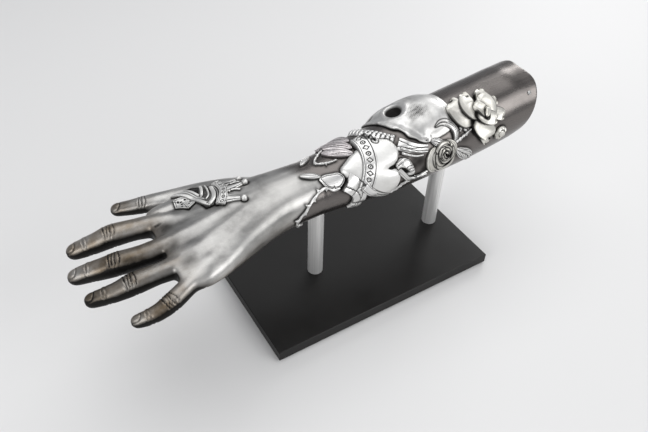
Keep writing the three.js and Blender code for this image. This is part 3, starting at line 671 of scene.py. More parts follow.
def hand_detail(points, normal):
    """Lift along the normal, and dark patina with painted shade in the grooves and valleys, for the tendons,
    knuckles, skin folds and nails.
    """
    lift, ink = np.zeros(len(points)), np.zeros(len(points))
    back = smooth(0.2, 0.65, normal[:, 2])
    belly = smooth(-0.2, -0.65, normal[:, 2])
    x, y = points[:, 0], points[:, 1]
    draws = np.random.default_rng(7)
    for name, line in FINGER_LINES.items():
        thumb = name == "thumb"
        start = THUMB_START if thumb else FINGERS_START
        near = np.where((x < start) & (np.abs(y - np.mean([p[1] for p in line])) < 75))[0]
        share, reach, above, across, length = finger_place(points[near], line)
        mine = reach < FINGER_REACH
        near, share, above, across = near[mine], share[mine], above[mine], across[mine]
        mm = share * length
        joints = [(THUMB_JOINT, 3, 0.5)] if thumb else [(MIDDLE_JOINT, 4, 0.62), (END_JOINT, 2, 0.3)]
        change, dark = np.zeros(len(near)), np.zeros(len(near))
        top = smooth(0.05, 0.55, above)
        under = smooth(-0.05, -0.5, above)
        for joint, folds, depth in joints:
            change += bump(share - joint, 0.07) * 0.45 * top
            for k in range(folds):
                spot = joint * length + (k - (folds - 1) / 2) * FOLD_STEP + draws.uniform(-0.3, 0.3)
                bow = 0.5 * np.sin(across * 0.35 + 2 * k) - 0.012 * across**2 * np.sign(k - (folds - 1) / 2)
                groove = bump(mm - spot - bow, 0.75) * top * smooth(10, 6.5, np.abs(across))
                change -= 0.8 * depth * groove
                change += 0.3 * bump(mm - spot - bow - 1.65, 0.9) * top
                dark = np.maximum(dark, 0.45 * groove)
            for k in range(2):
                crease = bump(mm - joint * length - (k - 0.5) * 3.0, 0.8) * under
                change -= 0.5 * crease
                dark = np.maximum(dark, 0.7 * crease)
        if not thumb:
            crease = bump(mm - 0.3 * length, 1.0) * under
            change -= 0.6 * crease
            dark = np.maximum(dark, 0.7 * crease)
        # nail: a flat plate with a groove round it, sunk at its root
        half = NAIL_HALF.get(name, OTHER_NAIL_HALF)
        root, tip = length - 12.0, length - 0.5
        u, v = (mm - (root + tip) / 2) / ((tip - root) / 2), across / half
        plate = (np.abs(v) ** 2.6 + np.clip(-u, 0, 9) ** 3 + np.clip(u, 0, 9) ** 5) ** (1 / 2.6)
        groove = bump(plate - 1.0, 0.12) * smooth(0.2, 0.6, above)
        nail = smooth(1.0, 0.8, plate) * smooth(0.25, 0.6, above)
        change += -0.62 * groove + 0.28 * nail * smooth(1, 0.2, np.abs(v)) - 0.1 * nail
        dark = np.maximum(dark, 0.75 * groove)
        np.maximum.at(ink, near, dark)
        lift[near] += change
    # tendons fan out from the wrist over the back to each knuckle
    for (knuckle_x, knuckle_y), start_y, high in (
        ((-206, 16), 8, 0.6), ((-210, -13), 0, 1.15), ((-205, -38), -7, 0.8), ((-198, -55), -14, 0.7),
    ):
        t = np.clip((x - TENDONS_START) / (knuckle_x - TENDONS_START), 0, 1)
        middle = start_y + (knuckle_y - start_y) * t
        ends = smooth(0.08, 0.35, t) * smooth(knuckle_x - 8, knuckle_x + 4, x)
        lift += high * bump(y - middle, 4.0 + 3.0 * t) * ends * back
        lift += 1.5 * bump(np.hypot((x - knuckle_x) / 1.15, y - knuckle_y), 8.5) * back
    for knuckle_y, knuckle_x in ((2, -204), (-25, -206), (-48, -200)):
        valley = bump(np.hypot((x - knuckle_x) / 2.1, y - knuckle_y), 6.5) * back
        lift -= 0.8 * valley
        ink = np.maximum(ink, 0.3 * valley)
    # the palm's three long folds
    palm = [
        [(-190, 16), (-178, -2), (-170, -24), (-172, -48)], [(-186, 22), (-166, 4), (-148, -20), (-138, -42)],
        [(-184, 24), (-158, 16), (-132, 6), (-108, 2)],
    ]
    low = np.where(belly > 0.01)[0]
    for path in palm:
        fine = spline(path, 30)
        fold = bump(path_distance(points[low][:, :2], fine), 1.1) * belly[low]
        lift[low] -= 0.8 * fold
        ink[low] = np.maximum(ink[low], 0.8 * fold)
    thenar = bump(np.hypot((x + 150) / 1.6, y - 14), 17) * belly
    outer = bump(np.hypot((x + 150) / 2.0, y + 42), 14) * belly
    lift += (2.2 * thenar + 1.6 * outer) * (x < -75)
    return lift, ink


# Where the silver of the wrist gives way to gunmetal, as x at each angle, and how softly.
GUNMETAL_EDGE = [
    (-180, -92, 12), (-90, -100, 16), (-50, -92, 16), (-20, -80, 14), (10, -72, 12), (28, -58, 9), (46, -57, 5),
    (52, -60, 3), (60, -69, 3), (70, -78, 3), (84, -88, 4), (100, -94, 6), (130, -92, 10), (180, -92, 12),
]


def angle_of(points):
    centre = sections(points[:, 0])[0]
    return np.degrees(np.arctan2(-points[:, 1], points[:, 2] - centre))


def tint_skin(piece, ink):
    points, normal = points_of(piece), normals_of(piece)
    x, y = points[:, 0], points[:, 1]
    table = np.array(GUNMETAL_EDGE, float)
    angle = angle_of(points)
    edge = np.interp(angle, table[:, 0], table[:, 1])
    soft = np.interp(angle, table[:, 0], table[:, 2])
    set_value(piece, "gunmetal", smooth(-1, 1, (x - edge) / soft))
    fingers = smooth(-200, -250, x)
    heel = 0.5 * smooth(0.35, -0.5, normal[:, 2]) * smooth(-60, -100, x)
    set_value(piece, "brass", np.maximum(fingers, heel))
    # painted shade: the fingers darken on their sides and undersides, away from their tops, and a little
    # overall towards the tips
    wear_and_shade = smooth(0.75, -0.05, normal[:, 2]) * smooth(-185, -225, x) * 0.9 + 0.3 * smooth(-200, -240, x)
    # painted shade: surfaces of the hand and wrist that face down are darkened
    painted_underside_shade = smooth(-0.1, -0.9, normal[:, 2]) * 0.45 * smooth(-60, -90, x)
    webs = [(-216, 2), (-220, -24), (-213, -47), (-196, 22)]
    root = np.max([bump(np.hypot((x - u) / 1.3, y - v), 9) for u, v in webs], axis=0)
    tips = np.maximum(smooth(-285, -312, x) * 0.25, 0.55 * root)
    # painted shade with patina: the skin's hollows and creases are darkened
    hollow = cavity(piece, 0.3) * smooth(SEAM, SEAM - 10, x) * np.where(x > -212, 0.3, 0.8)
    set_value(piece, "patina_and_shade", np.maximum.reduce([ink, wear_and_shade, painted_underside_shade, tips, hollow]))


skin = arm_skin()
_lift, _ink = hand_detail(points_of(skin), normals_of(skin))
set_points(skin, points_of(skin) + normals_of(skin) * _lift[:, None])
paint(skin, SKIN)
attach(skin, "arm")
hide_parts("hand", "forearm_shell")

# ---- Raised ornament: closed reliefs laid on the skin -------------------------------------------------

SUNK = -1.4  # lift of a relief's hidden underside, inside the skin
MADE = []  # each relief with its outline, in the order they lie on one another
OUTLINES = []  # feet of the reliefs, where painted contact shadow and patina gather on the skin
SPREAD_RADIUS = 45  # of the arm, for laying it out flat
HAND_ONLY = -105  # ornament at a smaller x is on the back of the hand
SEAM_SHADE, SEAM_REACH = 0.92, 0.8  # painted shade and patina where one shell of a relief lies on another
OVERLAP_SHADE, OVERLAP_REACH = 0.85, 0.9  # and where one relief lies on another
CONTACT_SHADE, CONTACT_REACH, CONTACT_END = 0.95, 2.1, -205  # and on the skin, down to this x


def spread_out(points):
    """Points as the eye sees them from over the skin: along and round the arm, or in plan on the hand."""
    round_arm = np.radians(angle_of(points)) * SPREAD_RADIUS
    return np.stack([points[:, 0], np.where(points[:, 0] < HAND_ONLY, points[:, 1], round_arm)], 1)


def darken_overlaps():
    """Painted shade and patina on each relief close to the outline of those that lie over it."""
    spread = [spread_out(outline) for _, outline in MADE]
    for i, (piece, _) in enumerate(MADE[:-1]):
        spots = spread_out(points_of(piece))
        others = np.concatenate(spread[i + 1:])
        others = others[((others > spots.min(0) - 3) & (others < spots.max(0) + 3)).all(1)]
        if len(others):
            shade = OVERLAP_SHADE * near_share(spots, others, OVERLAP_REACH)
            set_value(piece, "patina_and_shade", np.maximum(value_of(piece, "patina_and_shade"), shade))


class Relief:
    """Gathers closed shells in a piece's own flat plane, then lays them on the arm."""

    def __init__(self, x):
        self.radius = float(girth(x))
        self.points, self.ink, self.faces, self.flats = [], [], [], []

    def flat(self, points):
        points = np.asarray(points, float)
        return np.stack([points[:, 0], np.radians(points[:, 1]) * self.radius], 1)

    def place(self, spots, lift):
        return on_skin(spots[..., 0], np.degrees(spots[..., 1] / self.radius), lift)

    def shell(self, rows):
        """rows: a list of (flat points, lift, dark ink and painted shade), each ring with the same number of
        points.
        """
        sides = len(rows[0][0])
        start = sum(len(p) for p in self.points)
        rings = [self.place(spots, np.broadcast_to(lift, sides)) for spots, lift, _ in rows]
        inks = [np.broadcast_to(np.clip(ink, 0.0, 1.0), sides) for _, _, ink in rows]
        for store, values in ((self.points, rings), (self.ink, inks), (self.flats, [row[0] for row in rows])):
            store.append(capped(values))
        self.faces += [tuple(i + start for i in face) for face in tube_faces(sides, len(rows))]

    def plaque(self, centre, outline, height, rings, sides, pointed=False):
        """A plaque round a centre. height(spots, share, edge distance) gives its lift and its ink and painted
        shade.
        """
        centre = self.flat([centre])[0]
        rim = self.flat(outline)
        rim = polyline(rim, sides) if pointed else spline(rim, sides, closed=True)
        tree = kd_tree(rim)
        rows = []
        for share in np.linspace(0.02, 1, rings) ** 0.8:
            spots = centre + (rim - centre) * share
            rows.append((spots, *height(spots, share, nearest(tree, spots)[1])))
        # painted shade: the rim darkens where the plaque meets the skin, and its hidden foot is black
        rows += [(rim, rows[-1][1] * 0.45, 0.7), (rim, -0.1, 1.0)]
        rows += [(centre + (rim - centre) * share, SUNK, 1.0) for share in (1, 0.75, 0.5, 0.25, 0.05)]
        self.shell(rows)

    def strip(self, path, half, height, steps, across):
        """A strip along a path. half is its half width, one number, one for each side, or a function of s.
        height(s, w) gives its lift and its ink and painted shade, with w from -1 to 1 across it."""
        line = spline(self.flat(path), steps)
        along = np.gradient(line, axis=0)
        along /= np.linalg.norm(along, axis=1, keepdims=True)
        normal = np.stack([-along[:, 1], along[:, 0]], 1)
        w = np.sin(np.linspace(-1, 1, across) * math.pi / 2)
        rows = []
        for i, s in enumerate(np.linspace(0, 1, steps)):
            left, right = np.broadcast_to(half(s) if callable(half) else half, 2)
            reach = np.where(w < 0, left, right) * w
            top = line[i] + normal[i] * reach[:, None]
            lift, ink = height(s, w)
            lift, ink = np.broadcast_to(lift, across), np.broadcast_to(ink, across)
            # painted shade: the strip's foot is black where it meets the skin
            foot = line[i] + normal[i] * np.array([right, 0, -left])[:, None]
            rows.append([np.concatenate(pair) for pair in ((top, foot), (lift, [SUNK] * 3), (ink, [1.0] * 3))])
        self.shell(rows)

    def make(self, name, node, material, hollow=0.16, slot="bright_silver"):
        """The finished piece. Patina and painted shade fill its hollows, where hollow is the depth that turns
        black.
        """
        feet = [flat[ink == 1.0] for flat, ink in zip(self.flats, self.ink)]
        for i in range(len(feet) - 1):
            # painted shade where one shell meets those laid over it
            seam = near_share(self.flats[i], np.concatenate(feet[i + 1:]), SEAM_REACH)
            self.ink[i] = np.maximum(self.ink[i], SEAM_SHADE * seam)
        points, ink = np.concatenate(self.points), np.concatenate(self.ink)
        outline = points[ink > 0.99]
        piece = make_mesh(name, points, self.faces)
        fix_normals(piece)
        set_value(piece, "patina_and_shade", np.maximum(ink, cavity(piece, hollow)))
        paint(piece, material)
        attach(piece, "arm")
        if node:
            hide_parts(node)
        MADE.append((piece, outline))
        if slot == "bright_silver":
            OUTLINES.append(outline)


def oval(r, centre, along, across, count=36):
    """Outline of an oval on a relief's ground, its half lengths in mm."""
    x, angle = centre
    turn = np.linspace(0, 2 * math.pi, count, endpoint=False)
    return [(x + along * math.cos(t), angle + math.degrees(across * math.sin(t) / r.radius)) for t in turn]


def fix_normals(piece):
    edit_mesh(piece, lambda mesh: bmesh.ops.recalc_face_normals(mesh, faces=mesh.faces))
    piece.data.shade_smooth()


def skull():
    r = Relief(75)
    eye, far_eye, nose, temple = r.flat([(54, -17), (53, -63), (37, -45), (71, 4)])
    brow = r.flat([(72, -20), (68, -10), (61, 0), (53, 7), (46, 8)])
    jaw = r.flat([(34, -14), (41, 3), (47, 14), (53, 29), (60, 42), (66, 46)])
    knots = np.random.default_rng(3).uniform(-1, 1, (24, 2))

    def height(spots, share, edge):
        lift = 8.2 * (1 - share**2.6) + 1.5 + 0.6 * bump(edge, 2.4) - 0.5 * bump(edge - 5.5, 2.6)
        ink = 0.25 * bump(edge - 0.2, 0.8)
        # painted shade: the eye sockets, the nose and the temple hollow are darkened, with a dark line round
        # the edge
        for spot, size in ((eye, (10.0, 10.5)), (far_eye, 9.5)):
            reach = distance(spots, spot, size)
            lift += 0.9 * bump(reach - 1.25, 0.22) - 6.2 * smooth(1.05, 0.45, reach)
            ink = np.maximum(ink, smooth(1.05, 0.7, reach) * 0.93)
        reach = distance(spots, nose, (6, 3.6))
        lift -= 3.5 * smooth(1.1, 0.4, reach) + 1.9 * bump(distance(spots, temple, (1.25, 1)), 9.5)
        lift += 1.1 * bump(path_distance(spots, brow), 4.0) + 1.1 * bump(path_distance(spots, jaw) - 3.2, 2.4)
        speck = np.sin(spots @ (1.9, 0.7)) * np.sin(spots @ (-0.8, 2.1) + 1) * np.sin(spots @ (0.9, 1.3) + 2)
        shade = bump(distance(spots, temple, (1.3, 0.9)), 10) * (0.42 + 0.5 * smooth(0.05, 0.5, speck))
        wave = sum(np.sin(spots @ (k * 0.35) + 3 * i) for i, k in enumerate(knots)) / len(knots)
        return lift + 0.35 * wave, np.maximum.reduce([ink, smooth(1.1, 0.6, reach), shade])

    outline = [
        (109, 8), (109, 24), (106, 38), (97, 47), (86, 50), (73, 50), (66, 49), (60, 44), (56, 37), (50, 30),
        (48, 20), (45, 13), (41, 8), (38, 1), (36, -8), (33, -20), (30, -34), (28, -50), (31, -64), (44, -80),
        (58, -90), (76, -90), (92, -78), (103, -56), (108, -24),
    ]
    r.plaque((72, -18), outline, height, rings=96, sides=300)
    r.make("skull_relief", "skull", SKULL, 0.4)


def teeth():
    r = Relief(22)
    count = 11

    def height(s, w):
        off = abs(2 * ((s * count) % 1) - 1)  # 0 in the middle of a tooth, 1 where two meet
        size = 0.86 + 0.14 * math.sin(7 * math.floor(s * count) + 1)
        tooth = (2.2 + 1.3 * size) * (1 - off**3.2) ** 0.5 * (1 - np.clip((w - 0.1) / 0.95, 0, 1) ** 3)
        root = 1.5 * (1 - 0.55 * off) * (1 - smooth(-0.2, -1.0, w) * 0.5)
        lift = 0.5 + np.where(w > -0.15, np.maximum(tooth, 0.25), root + 0.5 * bump(w + 0.6, 0.25))
        # painted shade between the teeth and along the gum line
        return lift, bump(off - 1, 0.16) + bump(w + 0.15, 0.1) * 0.9

    path = [(10, -44), (13, -28), (17, -13), (22, 1), (28, 14), (34, 24)]
    r.strip(path, (5.4, 6.6), height, steps=264, across=33)
    r.make("upper_teeth", "teeth_row", ORNAMENT)


def heart():
    r = Relief(0)
    notch = r.flat([(24, 61)])[0]
    valley = r.flat([(25, 61), (14, 60), (0, 56)])

    def height(spots, share, edge):
        lift = 1.4 + 5.6 * np.sqrt(np.clip(1 - share**3.4, 0, 1)) + 0.3 * np.clip(edge, 0, 3)
        depth = smooth(26, 2, distance(spots, notch))
        off = path_distance(spots, valley)
        return lift - 2.6 * bump(off, 4.2) * depth, 0.35 * bump(off, 0.9) * depth

    outline = [
        (-34, 33), (-25, 22), (-12, 13), (1, 9), (16, 10), (26, 17), (31, 28), (32.5, 40), (29, 51), (24, 60),
        (27, 70), (28, 83), (25, 96), (19, 105), (12, 112), (-1, 106), (-12, 92), (-20, 78), (-28, 56),
    ]
    r.plaque((3, 56), outline, height, rings=60, sides=240)
    r.make("heart_relief", "heart", HEART)


def tile_pattern(s, w, count):
    """Generic border ornament: lozenges and beads in turn. Gives how deep it is engraved."""
    tile, t = divmod(s * count, 1)
    t -= 0.5
    if tile % 2 == 0:
        return bump(abs(t) * 2.2 + abs(w) * 1.25 - 0.78, 0.2)
    reach = np.sqrt(t**2 * 5.5 + w**2 * 2.2)
    return bump(reach - 0.66, 0.19) + bump(reach, 0.24)


def banner():
    r = Relief(0)

    def height(s, w):
        rise = 7.7 + 1.9 * math.sin(math.pi * s) ** 0.5
        sunk = smooth(0.8, 0.72, abs(w)) * 0.55
        plain_ends = smooth(0, 0.03, s) * smooth(1, 0.97, s)
        cut = tile_pattern(s, w / 0.72, 9) * smooth(0.74, 0.66, abs(w)) * plain_ends
        edge_line = bump(abs(w) - 0.78, 0.06)
        lift = rise - sunk - 0.7 * cut - 0.5 * edge_line + 0.3 * (1 - w**2)
        return lift, 0.95 * cut + 0.9 * edge_line + 0.25 * bump(abs(w) - 1, 0.03)

    path = [(0, -4), (0, 12), (-1.5, 27), (-4.5, 41), (-9, 55), (-13, 66), (-16, 74)]
    r.strip(path, lambda s: 7.6 - 0.5 * s, height, steps=300, across=61)
    r.make("banner", "heart_banner", ORNAMENT)


def banner_folds():
    r = Relief(-24)

    def fold(s, w):
        bend = bump(s - 0.34, 0.05) + bump(s - 0.78, 0.05)
        lift = 7.6 - 4.6 * s + 0.9 * math.sin(s * 9) + 0.5 * w - 1.5 * bend
        # painted shade with patina in the creases and at the bends
        crease = bump(w - 0.55 + s, 0.05) + bump(w + 1.5 - 2.1 * s, 0.05)
        return lift - 0.7 * crease, 0.8 * crease + bump(s - 0.34, 0.012) + bump(s - 0.78, 0.012)

    path = [(-34, 53), (-28, 64), (-23, 76), (-21, 92), (-23, 106), (-28, 118)]
    r.strip(path, lambda s: 9.2 - 2.4 * s, fold, 160, 31)

    def tail(s, w):
        return 9.0 - 5.2 * s**1.5 + 0.6 * math.sin(s * 5 + 1) - 0.6 * abs(w), 0.8 * bump(abs(w) - 0.72, 0.08)

    r.strip([(-17, 70), (-12, 80), (-6, 88), (2, 96), (12, 104)], lambda s: 4.6 - 2.6 * s, tail, 100, 21)
    r.make("banner_folds", "banner_fold", ORNAMENT)


def tail_plate():
    r = Relief(-45)
    outline = [
        (-58, 30), (-52, 27), (-44, 30), (-37, 33), (-33, 41), (-33, 50), (-37, 57), (-41, 60), (-48, 58),
        (-54, 51), (-57, 40),
    ]

    def height(spots, share, edge):
        return 1.2 + 1.1 * smooth(0, 1.2, edge) - 0.5 * bump(edge - 1.9, 0.5), 0.5 * bump(edge - 1.9, 0.35)

    r.plaque((-46, 44), outline, height, rings=30, sides=140)
    r.make("banner_tail", "banner_tail_plate", ORNAMENT)


def curl():
    r = Relief(10)
    for centre, size, high in (((7, -2), 4.6, 5.6), ((11, 4), 4.2, 5.1), ((14, 11), 3.8, 4.6)):

        def ring(spots, share, edge, high=high):
            lift = high + 1.9 * bump(share - 0.68, 0.26) - 2.4 * smooth(0.5, 0.15, share)
            # painted shade in the curl's sunk centre
            return lift, smooth(0.5, 0.25, share)

        r.plaque(centre, oval(r, centre, size, 1.4 * size, 14), ring, rings=24, sides=72)
    r.make("banner_curls", "banner_curl", ORNAMENT)


def leaf_half(width, skew=0.5):
    return lambda s: width * (np.clip(s, 1e-4, 1) / skew) ** 0.7 * max(1 - s, 0) ** 0.75 * 1.25 + 0.25


def leaf(name, node, path, width, height, veins, cupped):
    r = Relief(path[len(path) // 2][0])

    def lift_of(s, w):
        body = 0.9 + height * math.sin(math.pi * min(0.1 + s * 0.9, 1)) ** 0.6 * (1 - 0.35 * w**2)
        rib = bump(w, 0.09)
        vein = sum(bump(abs(w) * 0.5 + (k + 0.5) / (veins + 1) - s, 0.022) for k in range(veins))
        lift = body - 0.55 * rib - 0.3 * vein + 0.7 * bump(abs(w) - 0.93, 0.12) + cupped * w
        return lift, 0.8 * rib + 0.5 * vein

    r.strip(path, leaf_half(width), lift_of, 120, 33)
    r.make(name, node, ORNAMENT)


def petals():
    shapes = [
        ("petal_back", "back_petal", [(-25, -66), (-18, -50), (-11, -34), (-5, -14)], 8.0, 3.4),
        ("petal_upper", "upper_petal", [(-38, -42), (-28, -30), (-18, -14), (-9, 4)], 8.6, 3.8),
        ("petal_lower", "lower_petal", [(-39, -16), (-30, -5), (-21, 5), (-12, 15)], 7.0, 3.4),
    ]
    for name, node, path, width, high in shapes:
        r = Relief(path[2][0])

        def lift_of(s, w, high=high):
            body = 0.9 + high * math.sin(math.pi * min(0.08 + 0.92 * s, 1)) ** 0.5 * (1 - 0.25 * w**2)
            folds = sum(bump(w - c - 0.25 * math.sin(3 * s + c * 4), 0.055) for c in (-0.55, -0.12, 0.35))
            lip = 0.9 * bump(w - 0.9, 0.14) + 0.5 * bump(w + 0.93, 0.1)
            return body - 0.55 * folds + lip - 0.5 * w, 0.62 * folds

        r.strip(path, leaf_half(width, 0.55), lift_of, 150, 45)
        r.make(name, node, PETAL)


THORN_WIDTH = 0.022  # half of a thorn's base, as a share of the path


def vine(name, node, path, width, height, thorns, steps):
    """A stem with thorns, each given as its share of the path, its side and its length."""
    r = Relief(path[len(path) // 2][0])

    def half(s):
        left = right = width * (0.75 + 0.35 * math.sin(s * 21) ** 2) * (1 - 0.5 * s**6) / 2
        for spot, side, length in thorns:
            spike = length * max(0, 1 - abs(s - spot) / THORN_WIDTH) ** 1.3
            left, right = left + spike * (side < 0), right + spike * (side > 0)
        return left, right

    def lift_of(s, w):
        knot = 0.25 * math.sin(s * 60)
        return 0.6 + height * np.sqrt(np.clip(1.02 - w**2, 0, 1)) + knot, 0.5 * bump(abs(w) - 1, 0.12)

    r.strip(path, half, lift_of, steps, 15)
    r.make(name, node, ORNAMENT)


def petal(r, path, width, low, high, cup, skew=0.6, folds=()):
    """A cupped petal from its base to its lip, standing from low to high over the skin."""

    def lift_of(s, w):
        body = low + (high - low) * s**1.3 - 1.6 * max(s - 0.86, 0) / 0.14
        crease = sum(bump(w - c, 0.06) for c in folds) * math.sin(math.pi * min(s + 0.1, 1))
        wave = 0.35 * np.sin(4 * w + 9 * s) * s
        # painted shade at the petal's base and along its edges, where it lies against its neighbours
        ink = 0.9 * smooth(0.3, 0.05, s) + 0.3 * crease + 0.75 * bump(abs(w) - 1.0, 0.1) * smooth(0.95, 0.75, s)
        return body + cup * w**2 + wave - 0.3 * crease, ink

    def half(s):
        return width * (np.clip(s, 1e-4, 1) / skew) ** 0.5 * (max(1 - s, 0) + 0.004) ** 0.36 * 1.05

    r.strip(path, half, lift_of, 80, 25)


def arc_petal(r, centre, radius, start, sweep, width, low, high):
    """A petal seen from above: a curved wall round the rose's heart with a rolled outer lip."""
    middle = r.flat([centre])[0]
    turn = np.radians(np.linspace(start, start + sweep, 9))
    spots = middle + radius * np.stack([np.cos(turn), np.sin(turn)], 1)
    path = [(u, math.degrees(v / r.radius)) for u, v in spots]

    def half(s):
        return width * math.sin(math.pi * min(max(s, 0.02), 0.98)) ** 0.45

    def lift_of(s, w):
        body = low + (high - low) * (0.5 + 0.5 * w) + 0.8 * math.sin(math.pi * s)
        # painted shade along the inner edge of the petal wall
        return body + 0.7 * bump(w + 0.86, 0.2) + 0.5 * math.sin(5 * s), 0.9 * bump(w - 0.95, 0.3)

    r.strip(path, half, lift_of, 80, 23)


def large_rose():
    r = Relief(138)
    bed = [
        (120, 24), (128, 18), (138, 18), (147, 28), (152, 44), (150, 58), (141, 66), (133, 60), (125, 50),
        (118, 38),
    ]
    # painted shade: a dark bed under the petals fills the gaps between them
    r.plaque((137, 40), bed, lambda spots, share, edge: (0.4 + 1.2 * (1 - share**3), 0.8), 16, 70)
    petal(r, [(124, 26), (120, 18), (116, 8)], 6.1, 1.0, 3.6, cup=1.2)
    petal(r, [(134, 28), (131, 18), (130, 8)], 7.9, 1.8, 5.4, cup=1.2, folds=(0.1,))
    petal(r, [(128, 52), (134, 70), (140, 84), (144, 94)], 6.6, 1.0, 3.6, cup=1.4)
    petal(r, [(141, 36), (147, 26), (149, 14)], 8.5, 2.2, 6.6, cup=1.2, folds=(-0.35,))
    petal(r, [(146, 50), (156, 53), (166, 62)], 8.5, 2.0, 6.0, cup=1.8)
    petal(r, [(146, 42), (154, 38), (162, 38)], 7.3, 2.6, 6.6, cup=1.4)
    petal(r, [(128, 50), (118, 42), (112, 28), (109, 14)], 13.4, 2.4, 6.6, cup=2.2, skew=0.5)
    petal(r, [(125, 50), (134, 62), (141, 72), (145, 81)], 11.6, 2.6, 7.0, cup=2.2, skew=0.5)
    petal(r, [(137, 50), (129, 38), (125, 27), (129, 16)], 11.0, 4.2, 8.4, cup=1.6, skew=0.55)
    petal(r, [(146, 60), (150, 46), (148, 34), (143, 23)], 10.5, 4.4, 9.0, cup=1.6, skew=0.55)
    petal(r, [(130, 42), (138, 50), (147, 56), (153, 60)], 8.5, 6.2, 9.6, cup=1.8, skew=0.55)
    petal(r, [(143, 56), (141, 46), (137, 38), (132, 31)], 6.8, 7.6, 10.2, cup=1.4, skew=0.55)
    petal(r, [(139, 52), (143, 46), (145, 40)], 3.9, 8.6, 10.6, cup=1.6, skew=0.55)
    r.make("rose_large", "large_rose", ROSE, 0.7)


def small_rose():
    r = Relief(82)
    heart = (83, 75)
    for arc in (
        ((81, 80), 15.0, 105, 140, 4.6, 2.0, 5.0), ((82, 80), 14.5, 15, 110, 4.8, 2.0, 5.2),
        ((84, 78), 13.0, -75, 100, 4.2, 2.0, 4.8), ((82, 76), 11.0, 70, 150, 4.0, 3.6, 6.4),
        ((83, 76), 10.5, -30, 120, 3.8, 3.6, 6.2), ((83, 75), 10.0, 200, 120, 3.6, 3.4, 5.8),
        (heart, 6.6, 20, 150, 2.8, 5.0, 7.2), (heart, 6.2, 160, 130, 2.6, 5.0, 7.0),
        (heart, 6.0, 270, 130, 2.6, 5.0, 6.8), (heart, 3.2, 60, 190, 1.8, 6.4, 7.8),
        (heart, 2.6, 240, 170, 1.5, 6.2, 7.6),
    ):
        arc_petal(r, *arc)
    bed = oval(r, heart, 13, 13)
    # painted shade: a dark bed under the petals fills the gaps between them
    r.plaque(heart, bed, lambda spots, share, edge: (1.2 + 3.4 * (1 - share**2), 0.97), 14, 60)
    r.make("rose_small", "small_rose", ROSE, 0.4)


def scroll():
    r = Relief(35)
    axis = r.flat([(27, 66), (36, 62), (44, 64)])
    outline = [
        (24, 62), (27, 56), (32, 53), (39, 57), (43, 66), (46, 80), (44, 86), (38, 84), (33, 78), (28, 71),
    ]
    mouth = r.flat([(32, 72)])[0]

    def height(spots, share, edge):
        lift = 2.0 + 4.6 * np.sqrt(np.clip(1 - share**2.2, 0, 1))
        stripe = sum(bump(path_distance(spots, axis) - k, 0.42) for k in (3.4, 6.2, 9.0))
        # painted shade in the scroll's sunk mouth and in its grooves
        off = (spots - mouth) @ np.array([[0.75, -0.66], [0.66, 0.75]]) / (8.0, 3.0)
        reach = np.linalg.norm(off, axis=1)
        lift = lift - 3.4 * smooth(1.0, 0.5, reach) + 0.9 * bump(reach - 1.1, 0.18) - 0.45 * stripe
        return lift, 0.75 * stripe + smooth(1.0, 0.6, reach)

    r.plaque((35, 69), outline, height, rings=44, sides=160)
    r.make("scroll_roll", "scroll", ORNAMENT)
    r = Relief(44)

    def ribbon(s, w):
        return 2.2 + 1.6 * math.sin(math.pi * s) - 0.8 * w, 0.8 * bump(w - 0.35, 0.08)

    path = [(27, 70), (32, 80), (38, 91), (46, 96), (55, 97), (64, 95)]
    r.strip(path, lambda s: 2.7 - 1.1 * s, ribbon, 110, 19)
    r.make("scroll_ribbon", None, ORNAMENT)


def cheek_ribbon():
    """The folded ribbon between the teeth and the small rose."""
    r = Relief(48)

    def height(s, w):
        # painted shade with patina in the pleats
        pleat = bump(w - 0.5 + 0.9 * s, 0.06) + bump(w + 0.55 - 0.5 * s, 0.06)
        return 1.9 + 0.8 * math.sin(6 * s) - 0.6 * pleat, 0.85 * pleat

    r.strip([(36, 32), (42, 40), (49, 47), (58, 53), (66, 57)], lambda s: 6.6 - 3.4 * s, height, 120, 27)

    def strand(s, w):
        lift = 2.3 + 1.3 * np.sqrt(np.clip(1 - w**2, 0, 1)) + 0.2 * math.sin(30 * s)
        return lift, 0.6 * bump(abs(w) - 1, 0.1)

    for path in ([(36, 40), (44, 48), (54, 56), (64, 61)], [(35, 47), (42, 54), (50, 60), (58, 63)]):
        r.strip(path, lambda s: 1.3 - 0.5 * s, strand, 80, 11)
    r.make("cheek_ribbon", None, ORNAMENT)


def foliage():
    r = Relief(113)
    draws = np.random.default_rng(5)
    for k in range(9):
        x, angle = 108 + 9 * ((k * 0.37) % 1), 36 + 3.1 * k
        heading = draws.uniform(-1, 1) + (1.2 if k % 2 else -1.2)
        path = [
            (x, angle), (x + 3.5 * math.cos(heading), angle + 6 * math.sin(heading)),
            (x + 5.6 * math.cos(heading + 0.8), angle + 11 * math.sin(heading + 0.6)),
        ]

        def height(s, w):
            return 1.4 + 1.5 * math.sin(math.pi * min(0.2 + s, 1)) * (1 - 0.4 * w**2), 0.8 * bump(w, 0.16)

        r.strip(path, leaf_half(1.9), height, 36, 13)
    r.make("fern", "fern_leaf", ORNAMENT)


def bud():
    r = Relief(163)
    centre = (163.5, 88)
    middle = r.flat([centre])[0]

    def height(spots, share, edge):
        off = spots - middle
        ray = np.cos(6 * np.arctan2(off[:, 1], off[:, 0]) + share * 2)
        lift = 1.6 + 3.6 * np.sqrt(np.clip(1 - share**2.4, 0, 1)) + 0.5 * ray * smooth(0.1, 0.8, share)
        # painted shade in the sunk groove round the bud
        return lift - 1.4 * bump(share - 0.52, 0.07), 0.85 * bump(share - 0.52, 0.06)

    r.plaque(centre, oval(r, centre, 8, 7.6, 18), height, rings=34, sides=120)
    r.make("side_bud", "round_bud", ROSE)


